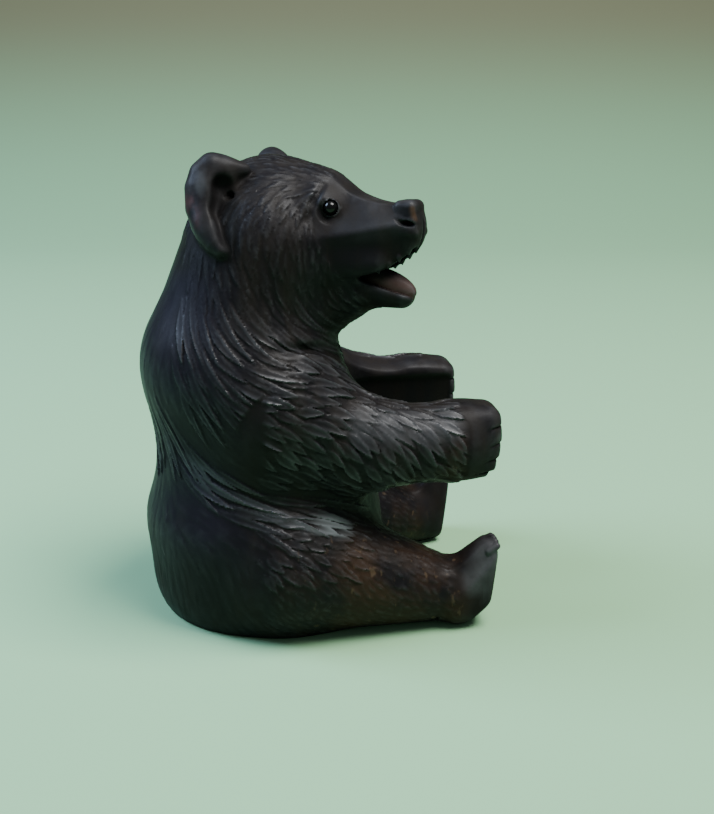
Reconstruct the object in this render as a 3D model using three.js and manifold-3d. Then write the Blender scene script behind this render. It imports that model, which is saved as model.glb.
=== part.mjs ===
// A seated bear carved from one block of wood, with glass bead eyes.
//
// Millimetres, +Z up. The bear looks along +X, its left side is +Y, and its
// flat sawn underside lies on z = 0. The form is built as a carver roughs it
// out: round masses are blended into one another, flats and hollows are cut
// away, and the result is faceted on a grid that is finer round the head.

import * as THREE from 'three';
import { mergeVertices } from 'three/addons/utils/BufferGeometryUtils.js';
import Module from 'manifold-3d';

// ---------------------------------------------------------------- dimensions

// A ball is an ellipsoid: where it is, its three radii, its turn in degrees.
// A limb is a tapered bar between two balls. A block is a box with round edges.
// blend is how widely a form melts into what is already there.

const RUMP = { at: [-21.5, 0, 32], radii: [41.8, 41, 33] };
const SEAT = { at: [-19, 0, 9], radii: [41.8, 38.5, 26], blend: 12 };
const WAIST = { at: [-23, 0, 62], radii: [35.5, 33, 34], blend: 10 };
const SHOULDERS = { at: [-28, 0, 86], radii: [32.7, 35, 27], blend: 10 };
const NECK = { from: [-28.5, 0, 92], to: [-22, 0, 125.5], radii: [31, 24.6], blend: 10 };

const LEG = { from: [-14, 24, 22], to: [40, 32, 10.6], radii: [24, 10.2], blend: 7 };
const FOOT = { at: [45.6, 34, 16], half: [9.5, 8.6, 16], round: 6.5, turn: { pitch: 3 }, blend: 4 };
const SOLE = { normal: [0.988, 0, -0.15], reach: 50.6, edge: 1.5 };
const INSTEP = { normal: [-0.671, 0, 0.742], reach: -11.2, edge: 2 };
const INSTEP_SIDE = { normal: [-0.42, 0.78, 0.46], reach: 22.4, edge: 1.5 };
const FOOT_INSIDE = { normal: [0, -0.951, 0.31], reach: -19.7, edge: 2 };
const HEEL_BACK = { normal: [0.6, 0.35, -0.72], reach: 39.5, edge: 1.5 };

const UPPER_ARM = { from: [-16, 21, 76], to: [10, 26, 66], radii: [21, 14], blend: 12 };
const FOREARM = { from: [10, 26, 64.5], to: [43, 25.5, 64.3], radii: [14, 13], blend: 8 };
const PAW = { at: [46, 25, 64.1], half: [11.4, 8.5, 12.7], round: 5.6, blend: 4 };
const FINGER_CUT = { normal: [0.949, 0, -0.316], reach: 33, edge: 1.5 };
const PALM_FACE = 17;           // the inner side of each arm is cut flat here
const PALM_EDGE = 1;
const PALM_HOLLOW = { at: [34, 15.5, 63.5], half: [22, 2.7, 9.5], round: 2.5, edge: 1 };
const LEFT_ARM_RAISED = 1;
const LEFT_ARM_SHORTER = 3.5;

const RUFF = { at: [-12.5, 4, 107], radii: [16, 17, 12.5], blend: 3 };
const NECK_CREASE = { from: [-20, 34, 102], to: [3.5, 19.5, 96.8], radii: [0.6, 2], edge: 3 };

const HEAD_AT = [-10, 1, 138.2];
const HEAD_TURN = { yaw: -35, pitch: -4, roll: -5 };
const HEAD_BLEND = 8;

// Places on the head are its own: x to the nose, y to its left, z to the crown.
const SKULL = { at: [-6.5, 0, -2.2], radii: [24, 21.5, 22] };
const CHEEK = { at: [1, 10, -12], radii: [18, 13, 16], blend: 8 };
const FOREHEAD = { at: [9.5, 0, 4.7], radii: [12.8, 10.5, 10.6], blend: 6 };
const BROW = { at: [14.5, 7.5, 3.2], radii: [7, 6, 5.3], blend: 5 };
const MUZZLE = { from: [12, 0, -6], to: [36, 0, -3.5], radii: [19, 12.2], blend: 4 };
const MUZZLE_SIDE = { normal: [0.207, 0.822, 0.533], reach: 13.3, edge: 0.9 };
const MUZZLE_UNDERSIDE = { normal: [0.355, 0.907, -0.226], reach: 22, edge: 1.2 };
const BRIDGE = { end: 40, height: 3.7, curve: 0.016, edge: 1 };
const LOWER_LIP = { from: [20, 5, -15], to: [33, 4.5, -15], radii: [7, 4.5], blend: 4 };
const JAW = { from: [8, 0, -18], to: [40, 0, -25.4], radii: [11.5, 4.5], blend: 3 };
const THROAT = { at: [13, 0, -27], radii: [14.5, 10.5, 10], blend: 6 };
const NOSE = { at: [43, 0, 0.3], half: [4, 5.2, 4.7], round: 2.4, blend: 0.6 };

// The mouth is a wedge sawn in from the front: its upper face curves up to the
// lip, its lower face falls to the chin.
const MOUTH = { corner: 27, back: 28, upper: -18.8, lower: -20.2, curve: 0.0235, fall: 0.33 };
const MOUTH_EDGES = { corner: 1.2, back: 2, lip: 1.2 };
const MOUTH_FLOOR = { from: [26, 0, -18.2], to: [42, 0, -22.8], radii: [6.2, 3], edge: 0.5 };
const TONGUE = { at: [34, 0, -21.9], radii: [11.6, 4.3, 4.9], turn: { pitch: 17 }, blend: 0.25 };

// The thick rim of an ear, from its front over the top to its lower tip.
const EAR_RIM = [
  { at: [-7.5, 15.5, 12.6], radius: 2.4 },
  { at: [-15.8, 22.5, 17], radius: 3.5 },
  { at: [-18.2, 24, 14.4], radius: 3.9 },
  { at: [-18.9, 25.8, 10], radius: 4.2 },
  { at: [-18, 27.2, 4], radius: 4.3 },
  { at: [-15.4, 29.2, -0.6], radius: 4 },
  { at: [-10.6, 30.6, -6.6], radius: 3.6 },
  { at: [-8.6, 30.6, -8.4], radius: 3.2 },
];
const RIM_BLEND = 0.8;
const EAR_BACK = { at: [-14.5, 18.5, 4.5], radii: [8.5, 6.5, 14.5] };
const EAR_HOLLOWS = [
  { from: [-11.4, 24.5, 12.5], to: [-10.8, 27, 4], radii: [4.4, 3.6], edge: 2 },
  { from: [-10.8, 27, 4], to: [-6.2, 31.2, -5], radii: [3.6, 3], edge: 2 },
];
const EAR_BLEND = 1.6;

// The left ear stands a little further back and higher, and lies closer to the
// head below, where the right one leans out over the fold of the turned neck.
const LEFT_EAR_SHIFT = [-2.6, 0, 1.6];
const LEFT_EAR_LEAN = 0.42;
const LEAN_FROM = 12;

const EYE_AT = [20.2, 10.1, 3.1];
const EYE_RADIUS = 2.3;
const EYE_GAP = 0.25;

// The grid that the form is measured on, and how many facets are kept.
const GRID_STEP = 2.3;
const FACETS = 8300;
const GRID_LOW = [-72, -56, -12];
const GRID_HIGH = [66, 56, 168];
const SPARE = { normal: [0, 0, -1], reach: 4, edge: 1 };    // sawn off at z = 0 afterwards

// How the facets are thinned: the price of a long edge, the share of edges
// tried in one sweep, and how far a facet may turn (as a cosine).
const LENGTH_PRICE = 1e-4;
const SWEEP_SHARE = 1 / 3;
const LEAST_TURN_COSINE = 0.25;

// How the thinned points are slid back onto the form.
const SLOPE_PROBE = 0.05;
const SLOPE_FLOOR = 0.25;
const SETTLE_ROUNDS = 3;
const FARTHEST_SLIDE = GRID_STEP / 6;

const WELD_DISTANCE = 1e-4;

const WOOD_COLOUR = 0x241a16;
const GLASS_COLOUR = 0x070707;

// ------------------------------------------------------------ turns and sums

const radians = THREE.MathUtils.degToRad;

// The three axes of something turned about z, then y, then x.
function axesOf({ yaw = 0, pitch = 0, roll = 0 } = {}) {
  const turn = new THREE.Euler(radians(roll), radians(pitch), radians(yaw), 'ZYX');
  const matrix = new THREE.Matrix4().makeRotationFromEuler(turn);
  const axes = [new THREE.Vector3(), new THREE.Vector3(), new THREE.Vector3()];
  matrix.extractBasis(...axes);
  return axes.map((axis) => axis.toArray());
}

const plus = (a, b) => [a[0] + b[0], a[1] + b[1], a[2] + b[2]];
const minus = (a, b) => [a[0] - b[0], a[1] - b[1], a[2] - b[2]];
const dot = (a, b) => a[0] * b[0] + a[1] * b[1] + a[2] * b[2];
const into = (point, origin, axes) => {
  const arm = minus(point, origin);
  return axes.map((axis) => dot(arm, axis));
};
const mirrored = ([x, y, z]) => [x, Math.abs(y), z];

// ------------------------------------------------------------- rounded forms
// Each gives the distance from a point to a form: negative inside it.

const UPRIGHT = axesOf();

function ball(point, { at, radii, turn }) {
  const local = into(point, at, turn ? axesOf(turn) : UPRIGHT);
  const near = Math.hypot(local[0] / radii[0], local[1] / radii[1], local[2] / radii[2]);
  const slope = Math.hypot(...local.map((value, i) => value / radii[i] ** 2));
  return (near * (near - 1)) / Math.max(slope, 1e-6);
}

function limb(point, { from, to, radii }) {
  const line = minus(to, from);
  const arm = minus(point, from);
  const lengthSq = dot(line, line);
  const taper = radii[0] - radii[1];
  const along = dot(arm, line);
  const beyond = along - lengthSq;
  const aside = minus(arm.map((value) => value * lengthSq), line.map((value) => value * along));
  const asideSq = dot(aside, aside);
  const rest = lengthSq - taper * taper;
  const side = Math.sign(taper) * taper * taper * asideSq;
  if (Math.sign(beyond) * rest * beyond * beyond * lengthSq > side) {
    return Math.sqrt(asideSq + beyond * beyond * lengthSq) / lengthSq - radii[1];
  }
  if (Math.sign(along) * rest * along * along * lengthSq < side) {
    return Math.sqrt(asideSq + along * along * lengthSq) / lengthSq - radii[0];
  }
  return (Math.sqrt((asideSq * rest) / lengthSq) + along * taper) / lengthSq - radii[0];
}

function block(point, { at, half, round, turn }) {
  const local = into(point, at, turn ? axesOf(turn) : UPRIGHT);
  const over = local.map((value, i) => Math.abs(value) - (half[i] - round));
  const outside = Math.hypot(...over.map((value) => Math.max(value, 0)));
  return outside + Math.min(Math.max(...over), 0) - round;
}

const beyondPlane = (point, { normal, reach }) => dot(point, normal) - reach;

// Joining and cutting, with a fillet or a soft edge of the width given.
function join(a, b, width = 0) {
  const overlap = width > 0 ? Math.max(width - Math.abs(a - b), 0) : 0;
  return Math.min(a, b) - (width > 0 ? (overlap * overlap) / (4 * width) : 0);
}
const keep = (a, b, width) => -join(-a, -b, width);
const cut = (a, b, width) => keep(a, -b, width);

const joinBalls = (d, point, ...forms) =>
  forms.reduce((sum, form) => join(sum, ball(point, form), form.blend), d);
const joinLimbs = (d, point, ...forms) =>
  forms.reduce((sum, form) => join(sum, limb(point, form), form.blend), d);
const cutLimbs = (d, point, ...forms) =>
  forms.reduce((rest, form) => cut(rest, limb(point, form), form.edge), d);
const trim = (d, point, ...planes) =>
  planes.reduce((rest, plane) => keep(rest, beyondPlane(point, plane), plane.edge), d);

// ------------------------------------------------------------------ the bear

function torso(point) {
  const body = joinBalls(ball(point, RUMP), point, SEAT, WAIST, SHOULDERS);
  return joinLimbs(body, point, NECK);
}

function leg(point) {
  const flats = [SOLE, INSTEP, INSTEP_SIDE, FOOT_INSIDE, HEEL_BACK];
  return join(limb(point, LEG), trim(block(point, FOOT), point, ...flats), FOOT.blend);
}

function arm([x, y, z], side) {
  const left = side > 0;
  const shoulder = [x, side * y, z];
  const hand = [
    x + (left ? LEFT_ARM_SHORTER : 0),
    side * y,
    z - (left ? LEFT_ARM_RAISED : 0),
  ];
  const paw = trim(block(hand, PAW), hand, FINGER_CUT);
  const forearm = join(limb(hand, FOREARM), paw, PAW.blend);
  const whole = join(limb(shoulder, UPPER_ARM), forearm, FOREARM.blend);
  const flat = keep(whole, PALM_FACE - shoulder[1], PALM_EDGE);
  return cut(flat, block(hand, PALM_HOLLOW), PALM_HOLLOW.edge);
}

function muzzle(point) {
  const behind = Math.max(BRIDGE.end - point[0], 0);
  const top = point[2] - BRIDGE.height - BRIDGE.curve * behind * behind;
  const sides = trim(limb(point, MUZZLE), point, MUZZLE_SIDE, MUZZLE_UNDERSIDE);
  return keep(sides, top / Math.hypot(1, 2 * BRIDGE.curve * behind), BRIDGE.edge);
}

function mouth([x, , z]) {
  const ahead = Math.max(x - MOUTH.corner, 0);
  const steep = Math.hypot(1, 2 * MOUTH.curve * ahead);
  const underLip = (z - MOUTH.upper - MOUTH.curve * ahead * ahead) / steep;
  const overChin = (MOUTH.lower - z - (x - MOUTH.corner) * MOUTH.fall) / Math.hypot(1, MOUTH.fall);
  const wedge = keep(underLip, overChin, MOUTH_EDGES.corner);
  return keep(wedge, MOUTH.back - x, MOUTH_EDGES.back);
}

function head(point) {
  let d = joinBalls(ball(point, SKULL), point, CHEEK, FOREHEAD, BROW);
  d = join(d, muzzle(point), MUZZLE.blend);
  d = joinLimbs(d, point, LOWER_LIP, JAW);
  d = joinBalls(d, point, THROAT);
  d = cut(d, mouth(point), MOUTH_EDGES.lip);
  d = cutLimbs(d, point, MOUTH_FLOOR);
  d = joinBalls(d, point, TONGUE);
  return join(d, block(point, NOSE), NOSE.blend);
}

const RIM_BARS = EAR_RIM.slice(1).map((end, n) => {
  const start = EAR_RIM[n];
  return { from: start.at, to: end.at, radii: [start.radius, end.radius], blend: RIM_BLEND };
});

function ear(onHead) {
  let point = mirrored(onHead);
  if (onHead[1] > 0) {
    point = minus(point, LEFT_EAR_SHIFT);
    point[1] += LEFT_EAR_LEAN * Math.max(LEAN_FROM - point[2], 0);
  }
  return cutLimbs(joinLimbs(ball(point, EAR_BACK), point, ...RIM_BARS), point, ...EAR_HOLLOWS);
}

const HEAD_AXES = axesOf(HEAD_TURN);

function bearForm(point) {
  const half = mirrored(point);
  const onHead = into(point, HEAD_AT, HEAD_AXES);
  const arms = Math.min(arm(point, 1), arm(point, -1));
  let d = join(torso(half), leg(half), LEG.blend);
  d = join(d, arms, UPPER_ARM.blend);
  d = joinBalls(d, half, RUFF);
  d = join(d, head(mirrored(onHead)), HEAD_BLEND);
  d = join(d, ear(onHead), EAR_BLEND);
  return trim(cutLimbs(d, half, NECK_CREASE), point, SPARE);
}

// ------------------------------------------------------- facets from a form

function gridLines(low, high, step) {
  const count = Math.ceil((high - low) / step);
  return Array.from({ length: count + 1 }, (_, n) => low + n * step);
}

const CELL_CORNERS = [0, 1, 2, 3, 4, 5, 6, 7].map((n) => [n & 1, (n >> 1) & 1, n >> 2]);

// A grid cell is six tetrahedra, each a walk along the three axes in one order
// from its lowest corner to its highest. Walks of odd order are listed with two
// corners swapped, so that all six are the same way round.
const WALKS = [[0, 1, 2], [1, 2, 0], [2, 0, 1], [0, 2, 1], [2, 1, 0], [1, 0, 2]];
const TETRAHEDRA = WALKS.map(([a, b], n) => {
  const steps = [[0, 0, 0], [0, 0, 0], [0, 0, 0], [1, 1, 1]];
  steps[1][a] = 1;
  steps[2][a] = 1;
  steps[2][b] = 1;
  return n < 3 ? steps : [steps[0], steps[1], steps[3], steps[2]];
});

// For each set of corners inside the form, the corners in an order that keeps
// the tetrahedron the same way round and starts with the odd one or the pair.
const ONE_FIRST = [[0, 1, 2, 3], [1, 0, 3, 2], [2, 3, 0, 1], [3, 2, 1, 0]];
const PAIR_FIRST = [
  [0, 1, 2, 3], [0, 2, 3, 1], [0, 3, 1, 2], [1, 2, 0, 3], [1, 3, 2, 0], [2, 3, 0, 1],
];

// The rings of edges that the surface crosses in one tetrahedron, facing out.
function crossedEdges(inside) {
  const count = inside.filter(Boolean).length;
  if (count === 0 || count === 4) return [];
  if (count === 2) {
    const [p, q, r, s] = PAIR_FIRST.find((order) => inside[order[0]] && inside[order[1]]);
    return [[[p, r], [p, s], [q, s]], [[p, r], [q, s], [q, r]]];
  }
  const odd = inside.indexOf(count === 1);
  const [p, q, r, s] = ONE_FIRST[odd];
  return count === 1 ? [[[p, q], [p, r], [p, s]]] : [[[p, q], [p, s], [p, r]]];
}

function facets(form, lines) {
  const count = lines.map((line) => line.length);
  const total = count[0] * count[1] * count[2];
  const idOf = ([i, j, k]) => (i * count[1] + j) * count[2] + k;
  const placeOf = (node) => node.map((n, axis) => lines[axis][n]);
  const eachNode = (short, visit) => {
    for (let i = 0; i < count[0] - short; i++) {
      for (let j = 0; j < count[1] - short; j++) {
        for (let k = 0; k < count[2] - short; k++) visit([i, j, k]);
      }
    }
  };
  const depth = new Float64Array(total);
  eachNode(0, (node) => { depth[idOf(node)] = form(placeOf(node)); });

  const points = [];
  const triangles = [];
  const numbers = new Map();
  const crossing = (a, b) => {
    const key = Math.min(idOf(a), idOf(b)) * total + Math.max(idOf(a), idOf(b));
    if (!numbers.has(key)) {
      const share = depth[idOf(a)] / (depth[idOf(a)] - depth[idOf(b)]);
      const [from, to] = [placeOf(a), placeOf(b)];
      numbers.set(key, points.length);
      points.push(from.map((value, axis) => value + (to[axis] - value) * share));
    }
    return numbers.get(key);
  };
  eachNode(1, (node) => {
    const within = CELL_CORNERS.filter((step) => depth[idOf(plus(node, step))] < 0).length;
    if (within === 0 || within === CELL_CORNERS.length) return;
    for (const steps of TETRAHEDRA) {
      const corners = steps.map((step) => plus(node, step));
      const inside = corners.map((corner) => depth[idOf(corner)] < 0);
      for (const ring of crossedEdges(inside)) {
        triangles.push(ring.map(([a, b]) => crossing(corners[a], corners[b])));
      }
    }
  });
  return { points, triangles };
}

// ------------------------------------------------------------ fewer facets

const across = (a, b) => [
  a[1] * b[2] - a[2] * b[1], a[2] * b[0] - a[0] * b[2], a[0] * b[1] - a[1] * b[0],
];

// The plane of a facet, as the sum of squares that grows away from it.
function planeSquares(points, [a, b, c]) {
  const normal = across(minus(points[b], points[a]), minus(points[c], points[a]));
  const size = Math.hypot(...normal) || 1;
  const plane = [...normal.map((value) => value / size), -dot(normal, points[a]) / size];
  return plane.flatMap((p, i) => plane.slice(i).map((q) => p * q * size));
}

function squaresAt(sum, [x, y, z]) {
  const [xx, xy, xz, xw, yy, yz, yw, zz, zw, ww] = sum;
  return x * (xx * x + 2 * (xy * y + xz * z + xw)) + y * (yy * y + 2 * (yz * z + yw))
    + z * (zz * z + 2 * zw) + ww;
}

// Facets that touch each point.
function facetsRound(points, triangles) {
  const round = points.map(() => []);
  triangles.forEach((triangle, n) => triangle.forEach((point) => round[point].push(n)));
  return round;
}

// Merges neighbouring points where that changes the surface least, in sweeps,
// until few enough facets are left: flat places thin out, tight ones stay.
function thin(points, triangles, target) {
  for (;;) {
    const extra = triangles.length - target;
    if (extra <= 0) return { points, triangles };
    const squares = points.map(() => new Array(10).fill(0));
    for (const triangle of triangles) {
      const own = planeSquares(points, triangle);
      for (const point of triangle) own.forEach((value, n) => { squares[point][n] += value; });
    }
    const round = facetsRound(points, triangles);
    const edges = [];
    for (const [a, b, c] of triangles) {
      for (const [p, q] of [[a, b], [b, c], [c, a]]) {
        if (p > q) continue;
        const sum = squares[p].map((value, n) => value + squares[q][n]);
        const middle = points[p].map((value, axis) => (value + points[q][axis]) / 2);
        const short = Math.hypot(...minus(points[p], points[q]));
        edges.push({ p, q, middle, cost: squaresAt(sum, middle) + short * short * LENGTH_PRICE });
      }
    }
    edges.sort((one, other) => one.cost - other.cost);

    const still = new Array(points.length).fill(true);
    const gone = new Set();
    const ringOf = (point) => new Set(round[point].flatMap((n) => triangles[n]));
    for (const { p, q, middle } of edges.slice(0, Math.ceil(edges.length * SWEEP_SHARE))) {
      if (gone.size >= extra) break;
      const [near, far] = [ringOf(p), ringOf(q)];
      const both = [...near].filter((point) => far.has(point));
      if (both.length !== 4 || [...near, ...far].some((point) => !still[point])) continue;
      const kept = [...round[p], ...round[q]].filter((n) => {
        return !(triangles[n].includes(p) && triangles[n].includes(q));
      });
      const turned = kept.some((n) => {
        const [a, b, c] = triangles[n].map((point) => points[point]);
        const [d, e, f] = triangles[n].map((point) => {
          return point === p || point === q ? middle : points[point];
        });
        const before = across(minus(b, a), minus(c, a));
        const after = across(minus(e, d), minus(f, d));
        const least = LEAST_TURN_COSINE * Math.hypot(...before) * Math.hypot(...after);
        return dot(before, after) < least;
      });
      if (turned) continue;
      points[p] = middle;
      for (const n of round[q]) {
        if (triangles[n].includes(p)) gone.add(n);
        else triangles[n] = triangles[n].map((point) => (point === q ? p : point));
      }
      for (const point of [...near, ...far]) still[point] = false;
    }
    if (gone.size === 0) return { points, triangles };
    triangles = triangles.filter((_, n) => !gone.has(n));
  }
}

// Slides each vertex along the form's slope until it lies on the surface.
function settle(points, form) {
  return points.map((start) => {
    let point = start;
    for (let round = 0; round < SETTLE_ROUNDS; round++) {
      const d = form(point);
      const slope = [0, 1, 2].map((axis) => {
        const shifted = [...point];
        shifted[axis] += SLOPE_PROBE;
        return (form(shifted) - d) / SLOPE_PROBE;
      });
      const off = d / Math.max(dot(slope, slope), SLOPE_FLOOR);
      const slide = THREE.MathUtils.clamp(off, -FARTHEST_SLIDE, FARTHEST_SLIDE);
      point = point.map((value, axis) => value - slope[axis] * slide);
    }
    return point;
  });
}

// --------------------------------------------------------- solids and meshes

const wasm = await Module();
wasm.setup();

function solidFrom(vertices, triangles) {
  const vertProperties = Float32Array.from(vertices);
  const triVerts = Uint32Array.from(triangles);
  return new wasm.Manifold(new wasm.Mesh({ numProp: 3, vertProperties, triVerts }));
}

function solidFromGeometry(geometry) {
  geometry.deleteAttribute('normal');
  geometry.deleteAttribute('uv');
  const merged = mergeVertices(geometry, WELD_DISTANCE);
  return solidFrom(merged.attributes.position.array, merged.index.array);
}

function geometryFromSolid(solid) {
  const mesh = solid.getMesh();
  const geometry = new THREE.BufferGeometry();
  geometry.setAttribute('position', new THREE.BufferAttribute(mesh.vertProperties, mesh.numProp));
  geometry.setIndex(new THREE.BufferAttribute(mesh.triVerts, 1));
  geometry.computeVertexNormals();
  return geometry;
}

// A bead is a sphere; its socket is the same sphere a little larger.
const EYE_SEGMENTS = [20, 12];
const beadGeometry = (radius) => new THREE.SphereGeometry(radius, ...EYE_SEGMENTS);

function eyePlace(side) {
  const [x, y, z] = EYE_AT;
  const onHead = [x, side * y, z];
  return HEAD_AT.map((value, n) => value + dot(onHead, HEAD_AXES.map((axis) => axis[n])));
}

function carvedBody() {
  const lines = [0, 1, 2].map((axis) => gridLines(GRID_LOW[axis], GRID_HIGH[axis], GRID_STEP));
  const fine = facets(bearForm, lines);
  const { points, triangles } = thin(fine.points, fine.triangles, FACETS);
  const settled = settle(points, bearForm);
  let solid = solidFrom(settled.flat(), triangles.flat());

  const size = minus(GRID_HIGH, GRID_LOW);
  const belowFloor = new THREE.BoxGeometry(...size);
  belowFloor.translate(0, 0, -size[2] / 2);
  solid = solid.subtract(solidFromGeometry(belowFloor));

  for (const side of [1, -1]) {
    const socket = beadGeometry(EYE_RADIUS + EYE_GAP);
    socket.translate(...eyePlace(side));
    solid = solid.subtract(solidFromGeometry(socket));
  }
  return geometryFromSolid(solid);
}

// ------------------------------------------------------------------ assembly

const woodMaterial = () => new THREE.MeshStandardMaterial({
  color: WOOD_COLOUR, roughness: 0.45, metalness: 0, flatShading: true,
});
const glassMaterial = () => new THREE.MeshStandardMaterial({
  color: GLASS_COLOUR, roughness: 0.05, metalness: 0,
});

function makeEye(name, side) {
  const eye = new THREE.Mesh(beadGeometry(EYE_RADIUS), glassMaterial());
  eye.name = name;
  eye.position.set(...eyePlace(side));
  return eye;
}

const bear = new THREE.Mesh(carvedBody(), woodMaterial());
bear.name = 'bear';

const carving = new THREE.Group();
carving.add(bear, makeEye('eye_left', 1), makeEye('eye_right', -1));

export default carving;
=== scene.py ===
# %% [markdown]
# # A seated bear, carved in dark stained wood
#
# The bear is one block of wood, carved with gouges and a knife, stained nearly black and waxed. Its
# fur is hundreds of narrow cuts, each laid along the way that the hair would lie. The face, the paws
# and the feet are left smooth. The only separate pieces are two glass bead eyes.
#
# This lesson makes it in the order a carver works: the rounded masses first, then the flats and
# hollows, then the cuts of the fur, then the stain, the wax and the wear.

# %% The frame, and the size that everything is worked out from
import math
import bmesh
import bpy
import numpy as np
import openvdb
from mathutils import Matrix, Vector


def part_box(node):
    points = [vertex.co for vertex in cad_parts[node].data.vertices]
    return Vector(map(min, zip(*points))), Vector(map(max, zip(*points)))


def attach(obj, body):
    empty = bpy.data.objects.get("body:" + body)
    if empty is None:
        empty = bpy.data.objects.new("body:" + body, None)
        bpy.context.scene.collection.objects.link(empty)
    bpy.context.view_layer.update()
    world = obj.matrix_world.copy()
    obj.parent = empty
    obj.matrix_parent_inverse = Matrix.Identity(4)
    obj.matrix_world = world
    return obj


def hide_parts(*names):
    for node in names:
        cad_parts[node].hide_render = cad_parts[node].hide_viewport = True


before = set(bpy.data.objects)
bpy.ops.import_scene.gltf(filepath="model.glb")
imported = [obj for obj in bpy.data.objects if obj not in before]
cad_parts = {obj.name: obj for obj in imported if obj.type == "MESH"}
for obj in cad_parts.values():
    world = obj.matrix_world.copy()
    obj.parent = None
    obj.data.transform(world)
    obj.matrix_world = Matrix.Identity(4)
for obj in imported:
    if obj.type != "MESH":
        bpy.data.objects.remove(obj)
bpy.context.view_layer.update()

CARVING_HEIGHT = 159.4                     # the carving's height in its own units
body_low, body_high = (np.array(corner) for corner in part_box("bear"))
UNIT = (body_high[2] - body_low[2]) / CARVING_HEIGHT
print("one carver's unit is", round(UNIT * 1000, 4), "mm; body box", body_low, body_high)

# %% [markdown]
# ## Where the camera stands
#
# The camera looks at the bear's right side from a little behind and from above, so that the turned
# head faces it. It aims at a point above the lap, and a longish lens keeps the bear in proportion.

# %% The camera
TARGET = np.array([12.5, 0.0, 69.0]) * UNIT
CAMERA_DISTANCE = 420.0 * UNIT
CAMERA_BEARING = math.radians(-10.0)       # from the bear's right side, a little behind it
CAMERA_RISE = math.radians(19.5)
LENS = 52.2
SENSOR = 36.0


def from_bearing(bearing, rise):
    """The direction from the bear to something at this bearing and height angle."""
    level = math.cos(rise)
    return np.array([math.sin(bearing) * level, -math.cos(bearing) * level, math.sin(rise)])


def aim(holder, place, target):
    """Puts a camera or lamp at a place and turns it to look at a target."""
    holder.location = Vector(place)
    holder.rotation_euler = Vector(np.asarray(target) - place).to_track_quat("-Z", "Y").to_euler()


camera = bpy.data.objects.new("camera", bpy.data.cameras.new("camera"))
camera.data.lens = LENS
camera.data.sensor_width = SENSOR
camera.data.clip_start = 0.01
bpy.context.scene.collection.objects.link(camera)
aim(camera, TARGET + CAMERA_DISTANCE * from_bearing(CAMERA_BEARING, CAMERA_RISE), TARGET)
bpy.context.scene.camera = camera
print("camera at", [round(value, 3) for value in camera.location])

# %% [markdown]
# ## Rounded masses
#
# A sculptor builds an animal from eggs and sausages. Here each mass is a small formula that tells how
# far a point is from its surface, negative inside. Two masses melt together when the smaller distance
# is taken and rounded off where they are nearly equal. Subdivision modelling would also do, but a
# formula lets hollows, grooves and flats be cut at any size without minding the mesh.

# %% Masses: ball, limb and block
def ball(at, radii, turn=None, blend=0.0):
    return {"kind": "ball", "at": at, "radii": radii, "turn": turn, "blend": blend}


def limb(start, end, radii, blend=0.0):
    return {"kind": "limb", "start": start, "end": end, "radii": radii, "blend": blend}


def block(at, half, edge, turn=None, blend=0.0):
    return {"kind": "block", "at": at, "half": half, "edge": edge, "turn": turn, "blend": blend}


def axes_of(yaw=0.0, pitch=0.0, roll=0.0):
    """The axes of something turned about z, then y, then x, as the columns of a matrix."""
    a, b, c = (math.radians(angle) for angle in (yaw, pitch, roll))
    about_z = np.array([[math.cos(a), -math.sin(a), 0], [math.sin(a), math.cos(a), 0], [0, 0, 1]])
    about_y = np.array([[math.cos(b), 0, math.sin(b)], [0, 1, 0], [-math.sin(b), 0, math.cos(b)]])
    about_x = np.array([[1, 0, 0], [0, math.cos(c), -math.sin(c)], [0, math.sin(c), math.cos(c)]])
    return (about_z @ about_y @ about_x).astype(np.float32)


def vector(values):
    return np.asarray(values, np.float32)


def length_of(rows):
    return np.sqrt(np.einsum("ij,ij->i", rows, rows))


def from_limb(points, form):
    """Distance to a bar between two balls of different size."""
    start, end = vector(form["start"]), vector(form["end"])
    first, last = form["radii"]
    line = end - start
    line_sq = float(line @ line)
    taper = first - last
    rest = line_sq - taper * taper
    arm = points - start
    along = arm @ line
    beyond = along - line_sq
    aside = arm * line_sq - line * along[:, None]
    aside_sq = np.einsum("ij,ij->i", aside, aside)
    side = np.sign(taper) * taper * taper * aside_sq
    d = (np.sqrt(aside_sq * rest / line_sq) + along * taper) / line_sq - first
    at_end = np.sign(beyond) * rest * beyond * beyond * line_sq > side
    d = np.where(at_end, np.sqrt(aside_sq + beyond * beyond * line_sq) / line_sq - last, d)
    at_start = ~at_end & (np.sign(along) * rest * along * along * line_sq < side)
    return np.where(at_start, np.sqrt(aside_sq + along * along * line_sq) / line_sq - first, d)


def away(points, form):
    """How far each point is from a mass: negative inside it."""
    if form["kind"] == "limb":
        return from_limb(points, form)
    local = points - vector(form["at"])
    if form["turn"]:
        local = local @ axes_of(**form["turn"])
    if form["kind"] == "ball":
        radii = vector(form["radii"])
        near = length_of(local / radii)
        return near * (near - 1) / np.maximum(length_of(local / radii / radii), 1e-6)
    over = np.abs(local) - (vector(form["half"]) - form["edge"])
    return length_of(np.maximum(over, 0)) + np.minimum(over.max(1), 0) - form["edge"]


# %% Joining and cutting, with a fillet as wide as asked
def join(a, b, width=0.0):
    if width <= 0:
        return np.minimum(a, b)
    overlap = np.maximum(width - np.abs(a - b), 0)
    return np.minimum(a, b) - overlap * overlap / (4 * width)


def keep(a, b, width=0.0):
    return -join(-a, -b, width)


def cut(a, b, width=0.0):
    return keep(a, -b, width)


def add(d, points, *forms):
    for form in forms:
        d = join(d, away(points, form), form["blend"])
    return d


def take(d, points, *forms):
    for form in forms:
        d = cut(d, away(points, form), form["blend"])
    return d


def trim(d, points, *planes):
    """Cuts away what lies beyond each plane: its direction, how far out it is, and its edge."""
    for normal, reach, edge in planes:
        d = keep(d, points @ vector(normal) - reach, edge)
    return d


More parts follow.
